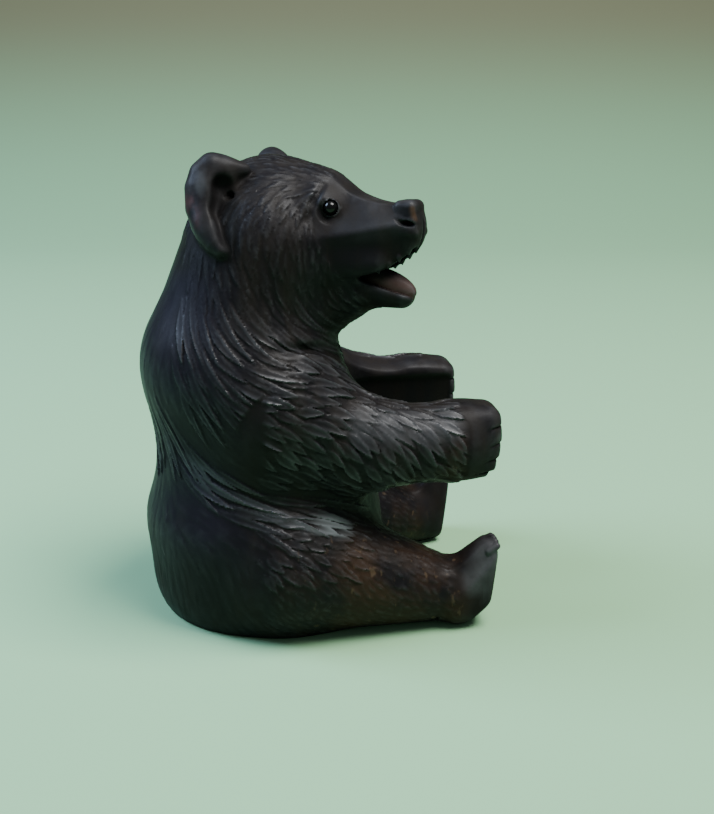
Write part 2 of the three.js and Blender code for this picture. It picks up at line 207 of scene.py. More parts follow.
def mirrored(points):
    """Points moved to the left half, so that one half is enough to describe both."""
    return np.stack([points[:, 0], np.abs(points[:, 1]), points[:, 2]], 1)


def rise(values, low, high):
    """0 below low, 1 above high, and a soft step between."""
    t = np.clip((values - low) / (high - low), 0, 1)
    return t * t * (3 - 2 * t)


# %% [markdown]
# ## Body, legs and arms
#
# The bear sits with its legs spread and its arms held out, so that it can hold something between its
# paws. The masses are the same as the solid's. What is finer is added here: the five fingers with
# their cut lines, the toes, the notch behind each heel and the hollow of each palm.

# %% The torso
RUMP = ball((-21.5, 0, 32), (41.8, 41, 33))
SEAT = ball((-19, 0, 9), (41.8, 38.5, 26), blend=12)
WAIST = ball((-23, 0, 62), (35.5, 33, 34), blend=10)
SHOULDERS = ball((-28, 0, 86), (32.7, 35, 27), blend=10)
NECK = limb((-28.5, 0, 92), (-22, 0, 125.5), (31, 24.6), blend=10)


def torso(half):
    return add(away(half, RUMP), half, SEAT, WAIST, SHOULDERS, NECK)


# %% A leg, with its toes
LEG = limb((-14, 24, 22), (40, 32, 10.6), (24, 10.2), blend=7)
FOOT = block((45.6, 34.0, 16.0), (9.5, 8.6, 16.0), 6.5, turn={"pitch": 3})
FOOT_CUTS = (
    ((0.988, 0, -0.15), 50.6, 1.0),        # the sole
    ((-0.671, 0, 0.742), -11.2, 2),        # the instep
    ((-0.42, 0.78, 0.46), 22.4, 0.8),      # the outer side of the instep
    ((0, -0.951, 0.31), -19.7, 2),         # the inner side, narrower at the toes
    ((0.6, 0.35, -0.72), 39.5, 1.5),       # the back of the heel, on the outer side
)
FOOT_BLEND = 4
TOE_RADIUS, TOE_SPACING, TOE_TOP, TOE_DROP = 1.25, 2.0, 30.6, 0.18
TOE_FRONT, TOE_LENGTH, TOE_SLOPE, TOE_MIDDLE = 54.0, 2.6, 1.9, 35.6
TOE_BLEND = 0.7
NOTCH_AT, NOTCH_HEIGHT, NOTCH_DEPTH = 33.2, 6.0, 1.6     # behind the heel
NOTCH_HALF_WIDTH, NOTCH_SLANT = 0.75, 0.08


def toes(half):
    """Five short toes side by side across the top of the foot, the middle one highest."""
    d = np.full(len(half), 1e3, np.float32)
    for n in range(-2, 3):
        across = TOE_MIDDLE + n * TOE_SPACING
        top = TOE_TOP - TOE_DROP * n * n
        root = (TOE_FRONT - TOE_LENGTH, across, top - TOE_SLOPE)
        bone = limb(root, (TOE_FRONT, across, top), (TOE_RADIUS, TOE_RADIUS))
        d = np.minimum(d, away(half, bone))
    return d


def leg(half):
    x, y, z = half.T
    foot = trim(away(half, FOOT), half, *FOOT_CUTS)
    foot = join(foot, toes(half), TOE_BLEND)
    d = join(away(half, LEG), foot, FOOT_BLEND)
    notch = 1 - np.abs(x - NOTCH_AT - NOTCH_SLANT * z) / NOTCH_HALF_WIDTH
    return d + NOTCH_DEPTH * np.clip(notch, 0, 1) * rise(NOTCH_HEIGHT - z, 0, 3) * rise(y, 30, 34)


# %% An arm, with its paw
UPPER_ARM = limb((-16, 21, 76), (10, 26, 66), (21, 14), blend=12)
FOREARM = limb((10, 26, 64.5), (43, 25.5, 64.3), (14, 13), blend=8)
PAW = block((46, 25, 64.1), (11.4, 8.5, 12.7), 5.6, blend=4)
PALM_FACE, PALM_EDGE = 17.0, 1.0
PALM_HOLLOW = block((34, 15.5, 63.5), (22, 2.7, 9.5), 2.5, blend=1.0)
LEFT_ARM_RAISED, LEFT_ARM_SHORTER = 1.0, 3.5
FINGER_ENDS = (57.2, 57.1, 56.1, 54.7, 52.4)        # top finger first
FINGER_LINES = (70.4, 64.6, 59.2, 54.6)             # heights of the cuts between the fingers
FINGER_CUT_LENGTH, FINGER_CUT_DEPTH, FINGER_CUT_HALF_WIDTH = 5.0, 0.9, 0.5
FINGER_ROUNDING, FINGER_EDGE = 0.5, 1.0


def fingers(d, hand):
    """Steps the ends of the five fingers back, and cuts a short line between each two."""
    x, _, z = hand.T
    limits = (90.0,) + FINGER_LINES + (30.0,)
    ends = np.zeros(len(hand), np.float32)
    for end, top, bottom in zip(FINGER_ENDS, limits, limits[1:]):
        middle, half_height = (top + bottom) / 2, (top - bottom) / 2
        rounded = end - FINGER_ROUNDING * np.minimum(np.abs(z - middle) / half_height, 1) ** 3
        ends = np.where((z <= top) & (z > bottom), rounded, ends)
    d = keep(d, x - ends, FINGER_EDGE)
    for height in FINGER_LINES:
        groove = np.clip(1 - np.abs(z - height) / FINGER_CUT_HALF_WIDTH, 0, 1)
        on_finger = rise(x, ends - FINGER_CUT_LENGTH - 1, ends - FINGER_CUT_LENGTH + 1)
        d = d + FINGER_CUT_DEPTH * groove * on_finger
    return d


def arm(points, side):
    """One arm: side is 1 for the left one and -1 for the right one."""
    shoulder = points * vector([1, side, 1])
    left = [LEFT_ARM_SHORTER, 0, -LEFT_ARM_RAISED]
    hand = shoulder + vector(left if side > 0 else [0, 0, 0])
    paw = fingers(away(hand, PAW), hand)
    forearm = join(away(hand, FOREARM), paw, PAW["blend"])
    whole = join(away(shoulder, UPPER_ARM), forearm, FOREARM["blend"])
    return take(keep(whole, PALM_FACE - shoulder[:, 1], PALM_EDGE), hand, PALM_HOLLOW)


# %% [markdown]
# ## The head
#
# The head turns to the bear's right and tips up a little, so its masses have a frame of their own: x
# runs to the nose, y to the bear's left, z to the crown. The muzzle was cut flat on top and on each
# side, which leaves a crisp ridge from the brow to the nose. The mouth is sawn open as a wedge, with
# small pointed teeth along the lip and a tongue that lies in the lower jaw.

# %% The skull and the muzzle
HEAD_AT = vector((-10, 1, 138.2))
HEAD_AXES = axes_of(yaw=-35, pitch=-4, roll=-5)
HEAD_BLEND = 8
SKULL = ball((-6.5, 0, -2.2), (24, 21.5, 22))
CHEEK = ball((1, 10, -12), (18, 13, 16), blend=8)
FOREHEAD = ball((9.5, 0, 4.7), (12.8, 10.5, 10.6), blend=6)
BROW = ball((14.5, 7.5, 3.2), (7, 6, 5.3), blend=5)
MUZZLE = limb((12, 0, -6), (36, 0, -3.5), (19, 12.2), blend=4)
MUZZLE_SIDE = ((0.207, 0.822, 0.533), 13.3, 0.6)
MUZZLE_UNDERSIDE = ((0.355, 0.907, -0.226), 22.0, 0.9)
BRIDGE_END, BRIDGE_HEIGHT, BRIDGE_CURVE, BRIDGE_EDGE = 40.0, 3.7, 0.016, 0.5
LOWER_LIP = limb((20, 5, -15), (33, 4.5, -15), (7, 4.5), blend=4)
JAW = limb((8, 0, -18), (40, 0, -25.4), (11.5, 4.5), blend=3)
THROAT = ball((13, 0, -27), (14.5, 10.5, 10), blend=6)


def head_frame(points):
    return (points - HEAD_AT) @ HEAD_AXES


def muzzle(half):
    x, _, z = half.T
    behind = np.maximum(BRIDGE_END - x, 0)
    bridge = (z - BRIDGE_HEIGHT - BRIDGE_CURVE * behind ** 2) / np.hypot(1, 2 * BRIDGE_CURVE * behind)
    d = trim(away(half, MUZZLE), half, MUZZLE_SIDE, MUZZLE_UNDERSIDE)
    return keep(d, bridge, BRIDGE_EDGE)


# %% The nose
NOSE = block((43.0, 0, 0.3), (4.0, 5.2, 4.7), 2.4, blend=0.6)
NOSTRIL = ball((44.9, 6.0, -2.2), (2.6, 2.2, 1.0), turn={"pitch": 12}, blend=0.6)
NOSTRIL_TAIL = limb((43.2, 6.2, -1.9), (40.8, 6.6, -0.4), (0.9, 0.5), blend=0.4)
NOSTRIL_LIP = limb((42.2, 4.9, -4.6), (46.4, 3.7, -5.2), (1.5, 1.3), blend=0.8)
NOSE_CREASE_DEPTH, NOSE_CREASE_HALF_WIDTH = 0.7, 0.7


def nose(d, half):
    x, y, z = half.T
    d = add(d, half, NOSE, NOSTRIL_LIP)
    d = take(d, half, NOSTRIL, NOSTRIL_TAIL)
    crease = np.clip(1 - y / NOSE_CREASE_HALF_WIDTH, 0, 1) * rise(x, 43, 45) * rise(-z, 0, 3)
    return d + NOSE_CREASE_DEPTH * crease


# %% The mouth, its teeth and its tongue
MOUTH_CORNER, MOUTH_BACK, MOUTH_CURVE = 27.0, 28.0, 0.0235
UPPER_FACE, LOWER_FACE, CHIN_FALL = -18.8, -20.2, 0.33
MOUTH_CORNER_EDGE, MOUTH_BACK_EDGE, LIP_EDGE, TEETH_BLEND = 0.8, 2, 0.7, 0.4
MOUTH_FLOOR = limb((26, 0, -18.2), (42, 0, -22.8), (6.2, 3.0), blend=0.5)
PALATE = limb((26, 0, -17.5), (43, 0, -10.5), (5.0, 3.4), blend=0.8)
TONGUE = ball((34.0, 0, -21.9), (11.6, 4.3, 4.9), turn={"pitch": 17}, blend=0.25)
TOOTH_LENGTH, TOOTH_RADIUS = 1.7, 1.0
TOOTH_PLACES = ((47.0, 1.4), (45.0, 3.6), (42.2, 5.0), (39.0, 6.2), (36.0, 7.2))   # x and y


def lip_height(x):
    ahead = np.maximum(x - MOUTH_CORNER, 0)
    return UPPER_FACE + MOUTH_CURVE * ahead * ahead


def mouth(half):
    x, _, z = half.T
    ahead = np.maximum(x - MOUTH_CORNER, 0)
    under_lip = (z - lip_height(x)) / np.hypot(1, 2 * MOUTH_CURVE * ahead)
    over_chin = (LOWER_FACE - z - (x - MOUTH_CORNER) * CHIN_FALL) / math.hypot(1, CHIN_FALL)
    return keep(keep(under_lip, over_chin, MOUTH_CORNER_EDGE), MOUTH_BACK - x, MOUTH_BACK_EDGE)


def teeth(half):
    d = np.full(len(half), 1e3, np.float32)
    for x, y in TOOTH_PLACES:
        root = float(lip_height(x)) + 0.8
        peg = limb((x - 0.9, y - 0.5, root), (x - 1.0, y - 0.6, root - TOOTH_LENGTH), (TOOTH_RADIUS, 0.3))
        d = np.minimum(d, away(half, peg))
    return d


# %% The eyes' sockets and lids
EYE_AT = (20.2, 10.1, 3.1)
EYE_RADIUS, EYE_GAP = 2.3, 0.25
LID_WIDTH, LID_HEIGHT, LID_BLEND, SOCKET_EDGE = 0.4, 0.4, 0.3, 0.25
EYE_DISH = ball((21.4, 12.6, 2.2), (4.2, 2.4, 3.6), blend=1.6)


def eye_sockets(d, half):
    """A round socket for the bead, inside a low ring of lid and a shallow dish."""
    from_eye = length_of(half - vector(EYE_AT))
    d = take(d, half, EYE_DISH)
    lid = keep(from_eye - (EYE_RADIUS + EYE_GAP + LID_WIDTH), d - LID_HEIGHT, LID_BLEND)
    d = join(d, lid, LID_BLEND)
    return cut(d, from_eye - (EYE_RADIUS + EYE_GAP), SOCKET_EDGE)


# %% The ears, and the whole head
EAR_RIM = (                                # the thick rim, from its front over the top to its lower tip
    ((-7.0, 16.6, 15.6), 1.8), ((-15.8, 22.5, 17.0), 3.5), ((-18.2, 24.0, 14.4), 3.9),
    ((-18.9, 25.8, 10.0), 4.2), ((-18.0, 27.2, 4.0), 4.3), ((-15.4, 29.2, -0.6), 4.0),
    ((-10.6, 30.6, -6.6), 3.6), ((-8.6, 30.6, -8.4), 3.2),
)
LEFT_EAR_SHIFT = (-2.6, 0, 0.7)            # the left ear stands a little further back and higher
LEFT_EAR_LEAN, LEAN_FROM = 0.42, 12.0      # and lies closer to the head below this height
EAR_BLEND, RIM_BLEND = 1.6, 0.2
# the rounded back of the ear, and the wood between the rim and the hollow
EAR_BACK = ball((-15.5, 19.5, 4.5), (7.5, 6.5, 14.0), blend=7)
EAR_FILL = limb((-14.6, 23.4, 9.5), (-12.6, 28.2, -2.5), (4.6, 4.0), blend=5)
EAR_HOLLOW = (
    limb((-10.4, 25.0, 10.5), (-9.2, 27.4, 4.0), (3.0, 2.9), blend=3),
    limb((-9.2, 27.4, 4.0), (-4.4, 31.8, -5.0), (2.9, 2.6), blend=3),
)
EAR_PIT = ball((-9.4, 23.4, 7.6), (1.5, 2.4, 1.4), blend=1.0)


def ears(on_head):
    """Distance to the ears, from places in the head's frame."""
    left = on_head[:, 1] > 0
    half = mirrored(on_head) - vector(LEFT_EAR_SHIFT) * left[:, None]
    half[:, 1] += LEFT_EAR_LEAN * left * np.maximum(LEAN_FROM - half[:, 2], 0)
    d = np.full(len(half), 1e3, np.float32)
    for (start, first), (end, last) in zip(EAR_RIM, EAR_RIM[1:]):
        d = join(d, away(half, limb(start, end, (first, last))), RIM_BLEND)
    return take(add(d, half, EAR_BACK, EAR_FILL), half, *EAR_HOLLOW)


def with_head(on_head, body):
    """The head and ears, melted into the body whose distance is given."""
    half = mirrored(on_head)
    d = join(join(body, head(half), HEAD_BLEND), ears(on_head), EAR_BLEND)
    return take(d, half, EAR_PIT)


FACE_FOLD = (                              # between the fur and the smooth face, behind the eye
    limb((17.1, 8.8, 10.3), (16.0, 13.9, 5.0), (0.4, 0.9), blend=1.6),
    limb((16.0, 13.9, 5.0), (14.8, 16.6, -1.0), (0.9, 0.5), blend=1.6),
)


def head(half):
    d = add(away(half, SKULL), half, CHEEK, FOREHEAD, BROW)
    d = join(d, muzzle(half), MUZZLE["blend"])
    d = add(d, half, LOWER_LIP, JAW, THROAT)
    d = cut(d, mouth(half), LIP_EDGE)
    d = take(d, half, MOUTH_FLOOR, PALATE)
    d = join(d, teeth(half), TEETH_BLEND)
    d = add(d, half, TONGUE)
    return take(eye_sockets(nose(d, half), half), half, *FACE_FOLD)


# %% The whole bear
LIMB_TOP = 112.0                           # nothing of the torso's lower masses reaches above this
HEAD_LOW = 92.0                            # nothing of the head reaches below this
RUFF = ball((-12.5, 4, 107), (16, 17, 12.5), blend=3)
NECK_CREASE = limb((-20, 34, 102), (3.5, 19.5, 96.8), (0.6, 2.0), blend=3)
SEAT_EDGE = 0.6                            # where the underside is sawn flat


def bear_form(points):
    """Distance to the bear's smooth form, in carver's units, worked out only where it can matter."""
    points = np.ascontiguousarray(points, np.float32)
    half = mirrored(points)
    d = torso(half)
    low = points[:, 2] < LIMB_TOP
    part = join(d[low], leg(half[low]), LEG["blend"])
    arms = np.minimum(arm(points[low], 1), arm(points[low], -1))
    d[low] = join(part, arms, UPPER_ARM["blend"])
    high = points[:, 2] > HEAD_LOW
    ruff = add(d[high], half[high], RUFF)
    d[high] = take(with_head(head_frame(points[high]), ruff), half[high], NECK_CREASE)
    return keep(d, -points[:, 2], SEAT_EDGE)

# %% [markdown]
# ## From formulas to a surface
#
# A grid of points half a unit apart is filled with distances, and OpenVDB, the library behind
# Blender's volume tools, draws the surface where the distance is nought. Only the part of the grid
# that is near the surface is worked out finely. Each vertex is then slid onto the exact surface along
# the normal, so that no trace of the grid is left.

# %% The grid of distances
GRID_LOW = vector((-70.0, -54.0, -6.0))
GRID_HIGH = vector((66.0, 54.0, 168.0))
FINE_STEP = 0.5                            # units between two grid points
CELL = 8                                   # grid points along one side of a cell
SLACK = 3.0                                # how far a distance may be out, in units
FAR = 2.0


def spread(low, step, counts):
    """All points of a grid, one row each."""
    axes = [low[n] + step * np.arange(counts[n], dtype=np.float32) for n in range(3)]
    return np.stack(np.meshgrid(*axes, indexing="ij"), -1).reshape(-1, 3)


def fill_grid(form):
    """The grid's distances: exact near the surface, and just inside or outside elsewhere."""
    size = CELL * FINE_STEP
    cells = np.ceil((GRID_HIGH - GRID_LOW) / size).astype(int)
    corners = spread(GRID_LOW, size, cells)
    rough = form(corners + (size - FINE_STEP) / 2)
    blocks = np.repeat(np.where(rough > 0, FAR, -FAR).astype(np.float32)[:, None], CELL ** 3, 1)
    within = spread((0.0, 0.0, 0.0), FINE_STEP, (CELL, CELL, CELL))
    near = np.flatnonzero(np.abs(rough) < size * math.sqrt(3) / 2 + SLACK)
    for some in np.array_split(near, max(1, len(near) // 400)):
        points = (corners[some][:, None, :] + within[None]).reshape(-1, 3)
        blocks[some] = np.clip(form(points), -FAR, FAR).reshape(-1, CELL ** 3)
    blocks = blocks.reshape(*cells, CELL, CELL, CELL).transpose(0, 3, 1, 4, 2, 5)
    return blocks.reshape(cells * CELL)


# %% Drawing the surface
def normals_of(points, form, reach=0.2):
    """The direction straight out of the form at each point."""
    slope = np.stack([form(points + reach * axis) - form(points - reach * axis)
                      for axis in np.eye(3, dtype=np.float32)], 1)
    return slope / np.maximum(length_of(slope), 1e-6)[:, None]


def surface_of(form):
    """Vertices, in units, and four-sided faces of the form's surface."""
    grid = openvdb.FloatGrid(FAR)
    grid.copyFromArray(fill_grid(form))
    places, quads = grid.convertToQuads(isovalue=0.0)
    places = GRID_LOW + FINE_STEP * places.astype(np.float32)
    for _ in range(2):
        places = places - normals_of(places, form) * form(places)[:, None]
    return places, quads


skin, skin_quads = surface_of(bear_form)
skin_normals = normals_of(skin, bear_form)
print("smooth skin:", len(skin), "vertices,", len(skin_quads), "faces")


# %% A Blender mesh from vertices and faces
def new_mesh(name, places, faces):
    """A mesh in metres from places in units."""
    mesh = bpy.data.meshes.new(name)
    sides = faces.shape[1]
    mesh.vertices.add(len(places))
    mesh.vertices.foreach_set("co", (places * UNIT).astype(np.float32).ravel())
    mesh.loops.add(faces.size)
    mesh.loops.foreach_set("vertex_index", faces.astype(np.int32).ravel())
    mesh.polygons.add(len(faces))
    mesh.polygons.foreach_set("loop_start", np.arange(0, faces.size, sides, dtype=np.int32))
    mesh.update(calc_edges=True)
    return mesh


def mesh_places(mesh):
    """A mesh's vertices, in units."""
    flat = np.empty(len(mesh.vertices) * 3, np.float32)
    mesh.vertices.foreach_get("co", flat)
    return flat.reshape(-1, 3) / UNIT


def facing_out(places, normals, quads):
    """Whether the faces point out of the form."""
    a, b, c = (places[quads[:, n]] for n in range(3))
    return np.einsum("ij,ij->i", np.cross(b - a, c - a), normals[quads[:, 0]]).sum() > 0


if not facing_out(skin, skin_normals, skin_quads):
    skin_quads = skin_quads[:, ::-1]
skin_mesh = new_mesh("bear skin", skin, skin_quads)
print("skin mesh in metres, box", skin.min(0) * UNIT, skin.max(0) * UNIT)

# %% [markdown]
# ## Which way the fur lies
#
# A carver first draws the lie of the fur with chalk: down the back, round the shoulder and along the
# arm, over the hip and down the thigh. Here the chalk marks are a short list of places, each with a
# direction. Any spot on the body takes the direction of the marks round it, the nearest counting
# most, laid flat on the surface.

# %% Chalk marks
BODY_MARKS = (                             # place, then direction; the left side is a mirror of this
    # down the back and round the neck
    ((-40, 20, 118), (0.15, 0, -1)), ((-25, 28, 112), (0.45, 0, -1)), ((-10, 28, 108), (0.5, 0, -0.9)),
    ((-60, 10, 100), (0, 0, -1)), ((-62, 10, 60), (0, 0, -1)), ((-62, 10, 25), (0, 0, -1)),
    ((-10, 30, 97), (1, 0, -0.2)), ((2, 24, 92), (1, 0, 0.3)), ((-4, 22, 100), (0.9, 0, -0.3)),
    ((8, 8, 100), (0.3, 0, -1)), ((12, 8, 60), (0, 0, -1)),
    # round the shoulder, steep at the back and level in front
    ((-48, 22, 102), (0.3, 0, -1)), ((-42, 30, 92), (0.6, 0, -0.9)), ((-34, 34, 86), (0.85, 0, -0.65)),
    ((-24, 36, 82), (1, 0, -0.3)), ((-26, 34, 95), (0.8, 0, -0.6)), ((-14, 36, 90), (1, 0, -0.15)),
    ((-46, 26, 80), (0.3, 0, -1)), ((-2, 34, 86), (1, 0, -0.05)),
    # along the arm
    ((10, 34, 74), (0.75, 0, -0.8)), ((25, 38, 68), (0.6, 0, -0.9)), ((42, 36, 64), (0.66, 0, -0.85)),
    ((0, 38, 64), (0.7, 0, -0.85)), ((-20, 36, 70), (0.6, 0, -0.9)), ((12, 40, 62), (0.6, 0, -0.9)),
    ((20, 30, 78), (0.9, 0, -0.45)), ((36, 28, 78), (0.9, 0, -0.45)),
    # over the hip and along the thigh
    ((-56, 20, 64), (1, 0, -0.9)), ((-48, 28, 59), (1, 0, -0.65)), ((-38, 32, 53), (1, 0, -0.55)),
    ((-26, 35, 46), (1, 0, -0.4)), ((-12, 36, 42), (1, 0, -0.2)), ((2, 36, 39), (1, 0, -0.15)),
    ((-40, 32, 45), (1, 0, -0.4)), ((-22, 34, 52), (1, 0, -0.3)), ((-5, 34, 46), (1, 0, -0.15)),
    ((10, 40, 34), (0.9, 0, -0.55)), ((0, 41, 30), (0.7, 0, -0.75)), ((-14, 41, 31), (0.7, 0, -0.75)),
    ((20, 20, 40), (1, 0, -0.3)), ((-34, 38, 30), (0.35, 0, -1)),
    # down the leg
    ((25, 40, 20), (0.8, 0, -0.6)), ((5, 42, 18), (0.7, 0, -0.75)), ((-20, 40, 10), (0.6, 0, -0.8)),
    ((20, 40, 6), (0.7, 0, -0.7)),
)
HEAD_MARKS = (                             # the same in the head's own frame
    ((0, 10, 18), (-1, 0, -0.2)), ((8, 14, 8), (-0.7, 0, -0.7)), ((2, 20, 0), (-0.4, 0, -0.9)),
    ((12, 14, -5), (-0.15, 0, -1)), ((5, 18, -15), (0.05, 0, -1)), ((15, 12, -22), (0.35, 0, -0.9)),
    ((-10, 18, -12), (0.1, 0, -1)), ((-25, 5, 5), (-0.3, 0, -1)), ((-12, 8, 20), (-1, 0, -0.1)),
    ((28, 8, -30), (0.5, 0, -0.6)), ((10, 3, 13), (-1, 0, 0.5)),
)
MARK_REACH, HEAD_MARK_REACH = 9.0, 8.0     # how far a mark is felt


def from_marks(points, marks, reach):
    """The direction that the marks give at each point."""
    places = vector([place for place, _ in marks])
    ways = vector([way for _, way in marks])
    apart = ((points[:, None, :] - places[None]) ** 2).sum(2)
    weight = np.exp(-(apart - apart.min(1)[:, None]) / (2 * reach * reach))
    return weight @ ways / weight.sum(1)[:, None]


def lie_of_fur(points, normals):
    """The unit direction of the hair at each point, flat on the surface."""
    way = from_marks(mirrored(points), BODY_MARKS, MARK_REACH)
    on_head = mirrored(head_frame(points))
    turned = from_marks(on_head, HEAD_MARKS, HEAD_MARK_REACH)
    turned[:, 1] *= np.sign(head_frame(points)[:, 1])
    share = head_share(points, on_head)[:, None]
    way = way * (1 - share) + (turned @ HEAD_AXES.T) * share
    way = way - normals * np.einsum("ij,ij->i", way, normals)[:, None]
    return way / np.maximum(length_of(way), 1e-6)[:, None]


def head_share(points, on_head):
    """1 on the head, 0 on the body, and between the two on the neck."""
    return rise(-away(on_head, ball((0, 0, -6), (30, 26, 26))), -9, 1) * rise(points[:, 2], 100, 108)


# %% Which part of the body a point is on
def parts_of(points):
    """For each point, the distances to the masses that it could lie on, and its place on the head."""
    half = mirrored(points)
    on_head = mirrored(head_frame(points))
    arms = np.minimum(arm(points, 1), arm(points, -1))
    return {"torso": torso(half), "leg": leg(half), "arm": arms, "head": head(on_head),
            "ear": ears(head_frame(points)), "on_head": on_head, "half": half}


parts = parts_of(skin)
print("skin vertices on the arms:", int((parts["arm"] < 0.3).sum()))

# %% [markdown]
# ## Scattering the cuts
#
# Fur is a great many cuts of a few kinds: broad shingles on the arms and thighs, long sweeps round
# the shoulder and hip, short ticks on the head, small dashes down the leg. A Geometry Nodes tree
# scatters the middles of the cuts over the skin, never closer together than the spacing it is given.
# It is used once for each kind, and a vertex attribute says where on the body that kind belongs.

# %% Where each kind of cut belongs
PAW_FUR_EDGE = 43.0                        # the fur of the arm stops here, and the bare paw begins
ANKLE = 41.0                               # the same on the leg
HIP_LINE = ((-60.0, -20.0, 10.0), (67.0, 44.0, 37.0))     # x and z of the sweeps over the hip
FACE_EDGE = ((-30.0, 33.0), (-16.0, 21.5), (-6.7, 17.8), (1.0, 15.4), (6.0, 16.0), (12.0, 18.2))   # z and x


def face_edge(height):
    """How far forward the fur of the head reaches at this height on the head."""
    z, x = np.array(FACE_EDGE).T
    return np.interp(height, z, x)


def zones(points, normals, parts):
    """How much of each kind of cut belongs at each point, from 0 to 1."""
    x, z = points[:, 0], points[:, 2]
    side = normals[:, 1] * np.sign(points[:, 1])
    body = np.minimum(parts["torso"], parts["head"])
    on_arm = rise(np.minimum(body, parts["leg"]) - parts["arm"], -2.5, 1.5)
    on_leg = rise(body - parts["leg"], -1.5, 2.5) * (1 - on_arm)
    on_head = rise(parts["torso"] - parts["head"], -3, 1) * rise(z, 100, 108)
    furry = rise(parts["ear"], 0.5, 1.4)
    face = rise(parts["on_head"][:, 0] - face_edge(parts["on_head"][:, 2]), -0.5, 0.5)
    palm = rise(-side, 0.55, 0.8) * rise(x, 5, 12) * on_arm
    off_floor = rise(z, 1.0, 3.0)
    arris = rise(x, 0, 8) * (1 - rise(np.abs(points[:, 1]), 22, 27)) * rise(normals[:, 2], -0.2, 0.2)
    arm_fur = on_arm * (1 - palm) * (1 - arris) * (1 - rise(x, PAW_FUR_EDGE - 4, PAW_FUR_EDGE + 1))
    over_hip = z - np.interp(x, *HIP_LINE)
    flank = rise(side, 0.1, 0.4)
    thigh = rise(z, 24, 29) * (1 - rise(over_hip, 0, 3)) * rise(x, -26, -20) * (1 - rise(x, 6, 14)) * flank
    trunk = (1 - on_arm) * (1 - on_leg) * (1 - on_head)
    hip = rise(over_hip, -8, -5) * (1 - rise(over_hip, 3, 8)) * flank
    hip = hip * rise(x, -59, -54) * (1 - rise(x, 2, 10))
    shoulder = rise(z, 76, 82) * (1 - rise(z, 104, 112)) * rise(x, -52, -44) * rise(side, 0.15, 0.5)
    neck = rise(z, 84, 92) * rise(x, -46, -38)
    return {
        "arm": arm_fur * rise(x, -28, -16),
        "thigh": thigh * (1 - on_arm) * off_floor,
        "hip": hip * (1 - on_arm) * (1 - thigh),
        "shoulder": shoulder * (1 - on_arm) * (1 - on_head),
        "neck": trunk * neck * furry,
        "leg": on_leg * (1 - thigh) * (1 - rise(x, ANKLE - 3, ANKLE)) * rise(x, -30, -18) * off_floor,
        "head": on_head * (1 - face) * furry,
        "back": trunk * (1 - neck) * (1 - hip) * off_floor,
    }


def store(mesh, name, values):
    """Keeps one number for each vertex of a mesh under a name."""
    layer = mesh.attributes.new(name, "FLOAT", "POINT")
    layer.data.foreach_set("value", np.ascontiguousarray(values, np.float32))


skin_zones = zones(skin, skin_normals, parts)
for kind, share in skin_zones.items():
    store(skin_mesh, "where " + kind, share)
    print("%-6s covers %4.1f %% of the skin" % (kind, 100 * float(share.mean())))

# %% A Geometry Nodes tree that scatters points on a surface
def scatter_tree(kind):
    """Points on the surface, where the kind's attribute allows them, as loose vertices."""
    tree = bpy.data.node_groups.new("scatter " + kind, "GeometryNodeTree")
    tree.interface.new_socket("Surface", in_out="INPUT", socket_type="NodeSocketGeometry")
    for name in ("Spacing", "Crowd"):
        tree.interface.new_socket(name, in_out="INPUT", socket_type="NodeSocketFloat")
    tree.interface.new_socket("Seed", in_out="INPUT", socket_type="NodeSocketInt")
    tree.interface.new_socket("Marks", in_out="OUTPUT", socket_type="NodeSocketGeometry")
    given = tree.nodes.new("NodeGroupInput")
    where = tree.nodes.new("GeometryNodeInputNamedAttribute")
    where.data_type = "FLOAT"
    where.inputs["Name"].default_value = "where " + kind
    scatter = tree.nodes.new("GeometryNodeDistributePointsOnFaces")
    scatter.distribute_method = "POISSON"
    vertices = tree.nodes.new("GeometryNodePointsToVertices")
    real = tree.nodes.new("GeometryNodeRealizeInstances")
    finish = tree.nodes.new("GeometryNodeSetMaterial")
    made = tree.nodes.new("NodeGroupOutput")
    for source, target in (
        (given.outputs["Surface"], scatter.inputs["Mesh"]),
        (given.outputs["Spacing"], scatter.inputs["Distance Min"]),
        (given.outputs["Crowd"], scatter.inputs["Density Max"]),
        (given.outputs["Seed"], scatter.inputs["Seed"]),
        (where.outputs["Attribute"], scatter.inputs["Density Factor"]),
        (scatter.outputs["Points"], vertices.inputs["Points"]),
        (vertices.outputs["Mesh"], real.inputs["Geometry"]),
        (real.outputs["Geometry"], finish.inputs["Geometry"]),
        (finish.outputs["Geometry"], made.inputs["Marks"]),
    ):
        tree.links.new(source, target)
    return tree


TRIED = 6.0                                # points tried in each square of the spacing


def scattered(holder, kind, spacing, seed):
    """Places on the surface, in units, from the tree."""
    tree = scatter_tree(kind)
    modifier = holder.modifiers.new("scatter", "NODES")
    modifier.node_group = tree
    values = {"Spacing": spacing * UNIT, "Crowd": TRIED / (spacing * UNIT) ** 2, "Seed": seed}
    for item in tree.interface.items_tree:
        if item.name in values:
            modifier[item.identifier] = values[item.name]
    seen = holder.evaluated_get(bpy.context.evaluated_depsgraph_get())
    marks = bpy.data.meshes.new_from_object(seen)
    holder.modifiers.remove(modifier)
    places = mesh_places(marks)
    bpy.data.meshes.remove(marks)
    return places


# %% [markdown]
# ## The cut itself
#
# One pass of the gouge leaves a leaf shape: narrow where the tool enters, widest near its middle, and
# pointed where it leaves. The wood rises along it towards the tip and ends there in a small step, so
# that the next cut seems to lie beneath, as shingles do on a roof. Where cuts overlap, the higher
# wood stays. Bump in a material could draw the lines, but not the toothed outline that the arm shows
# against the light, so the cuts are real relief.

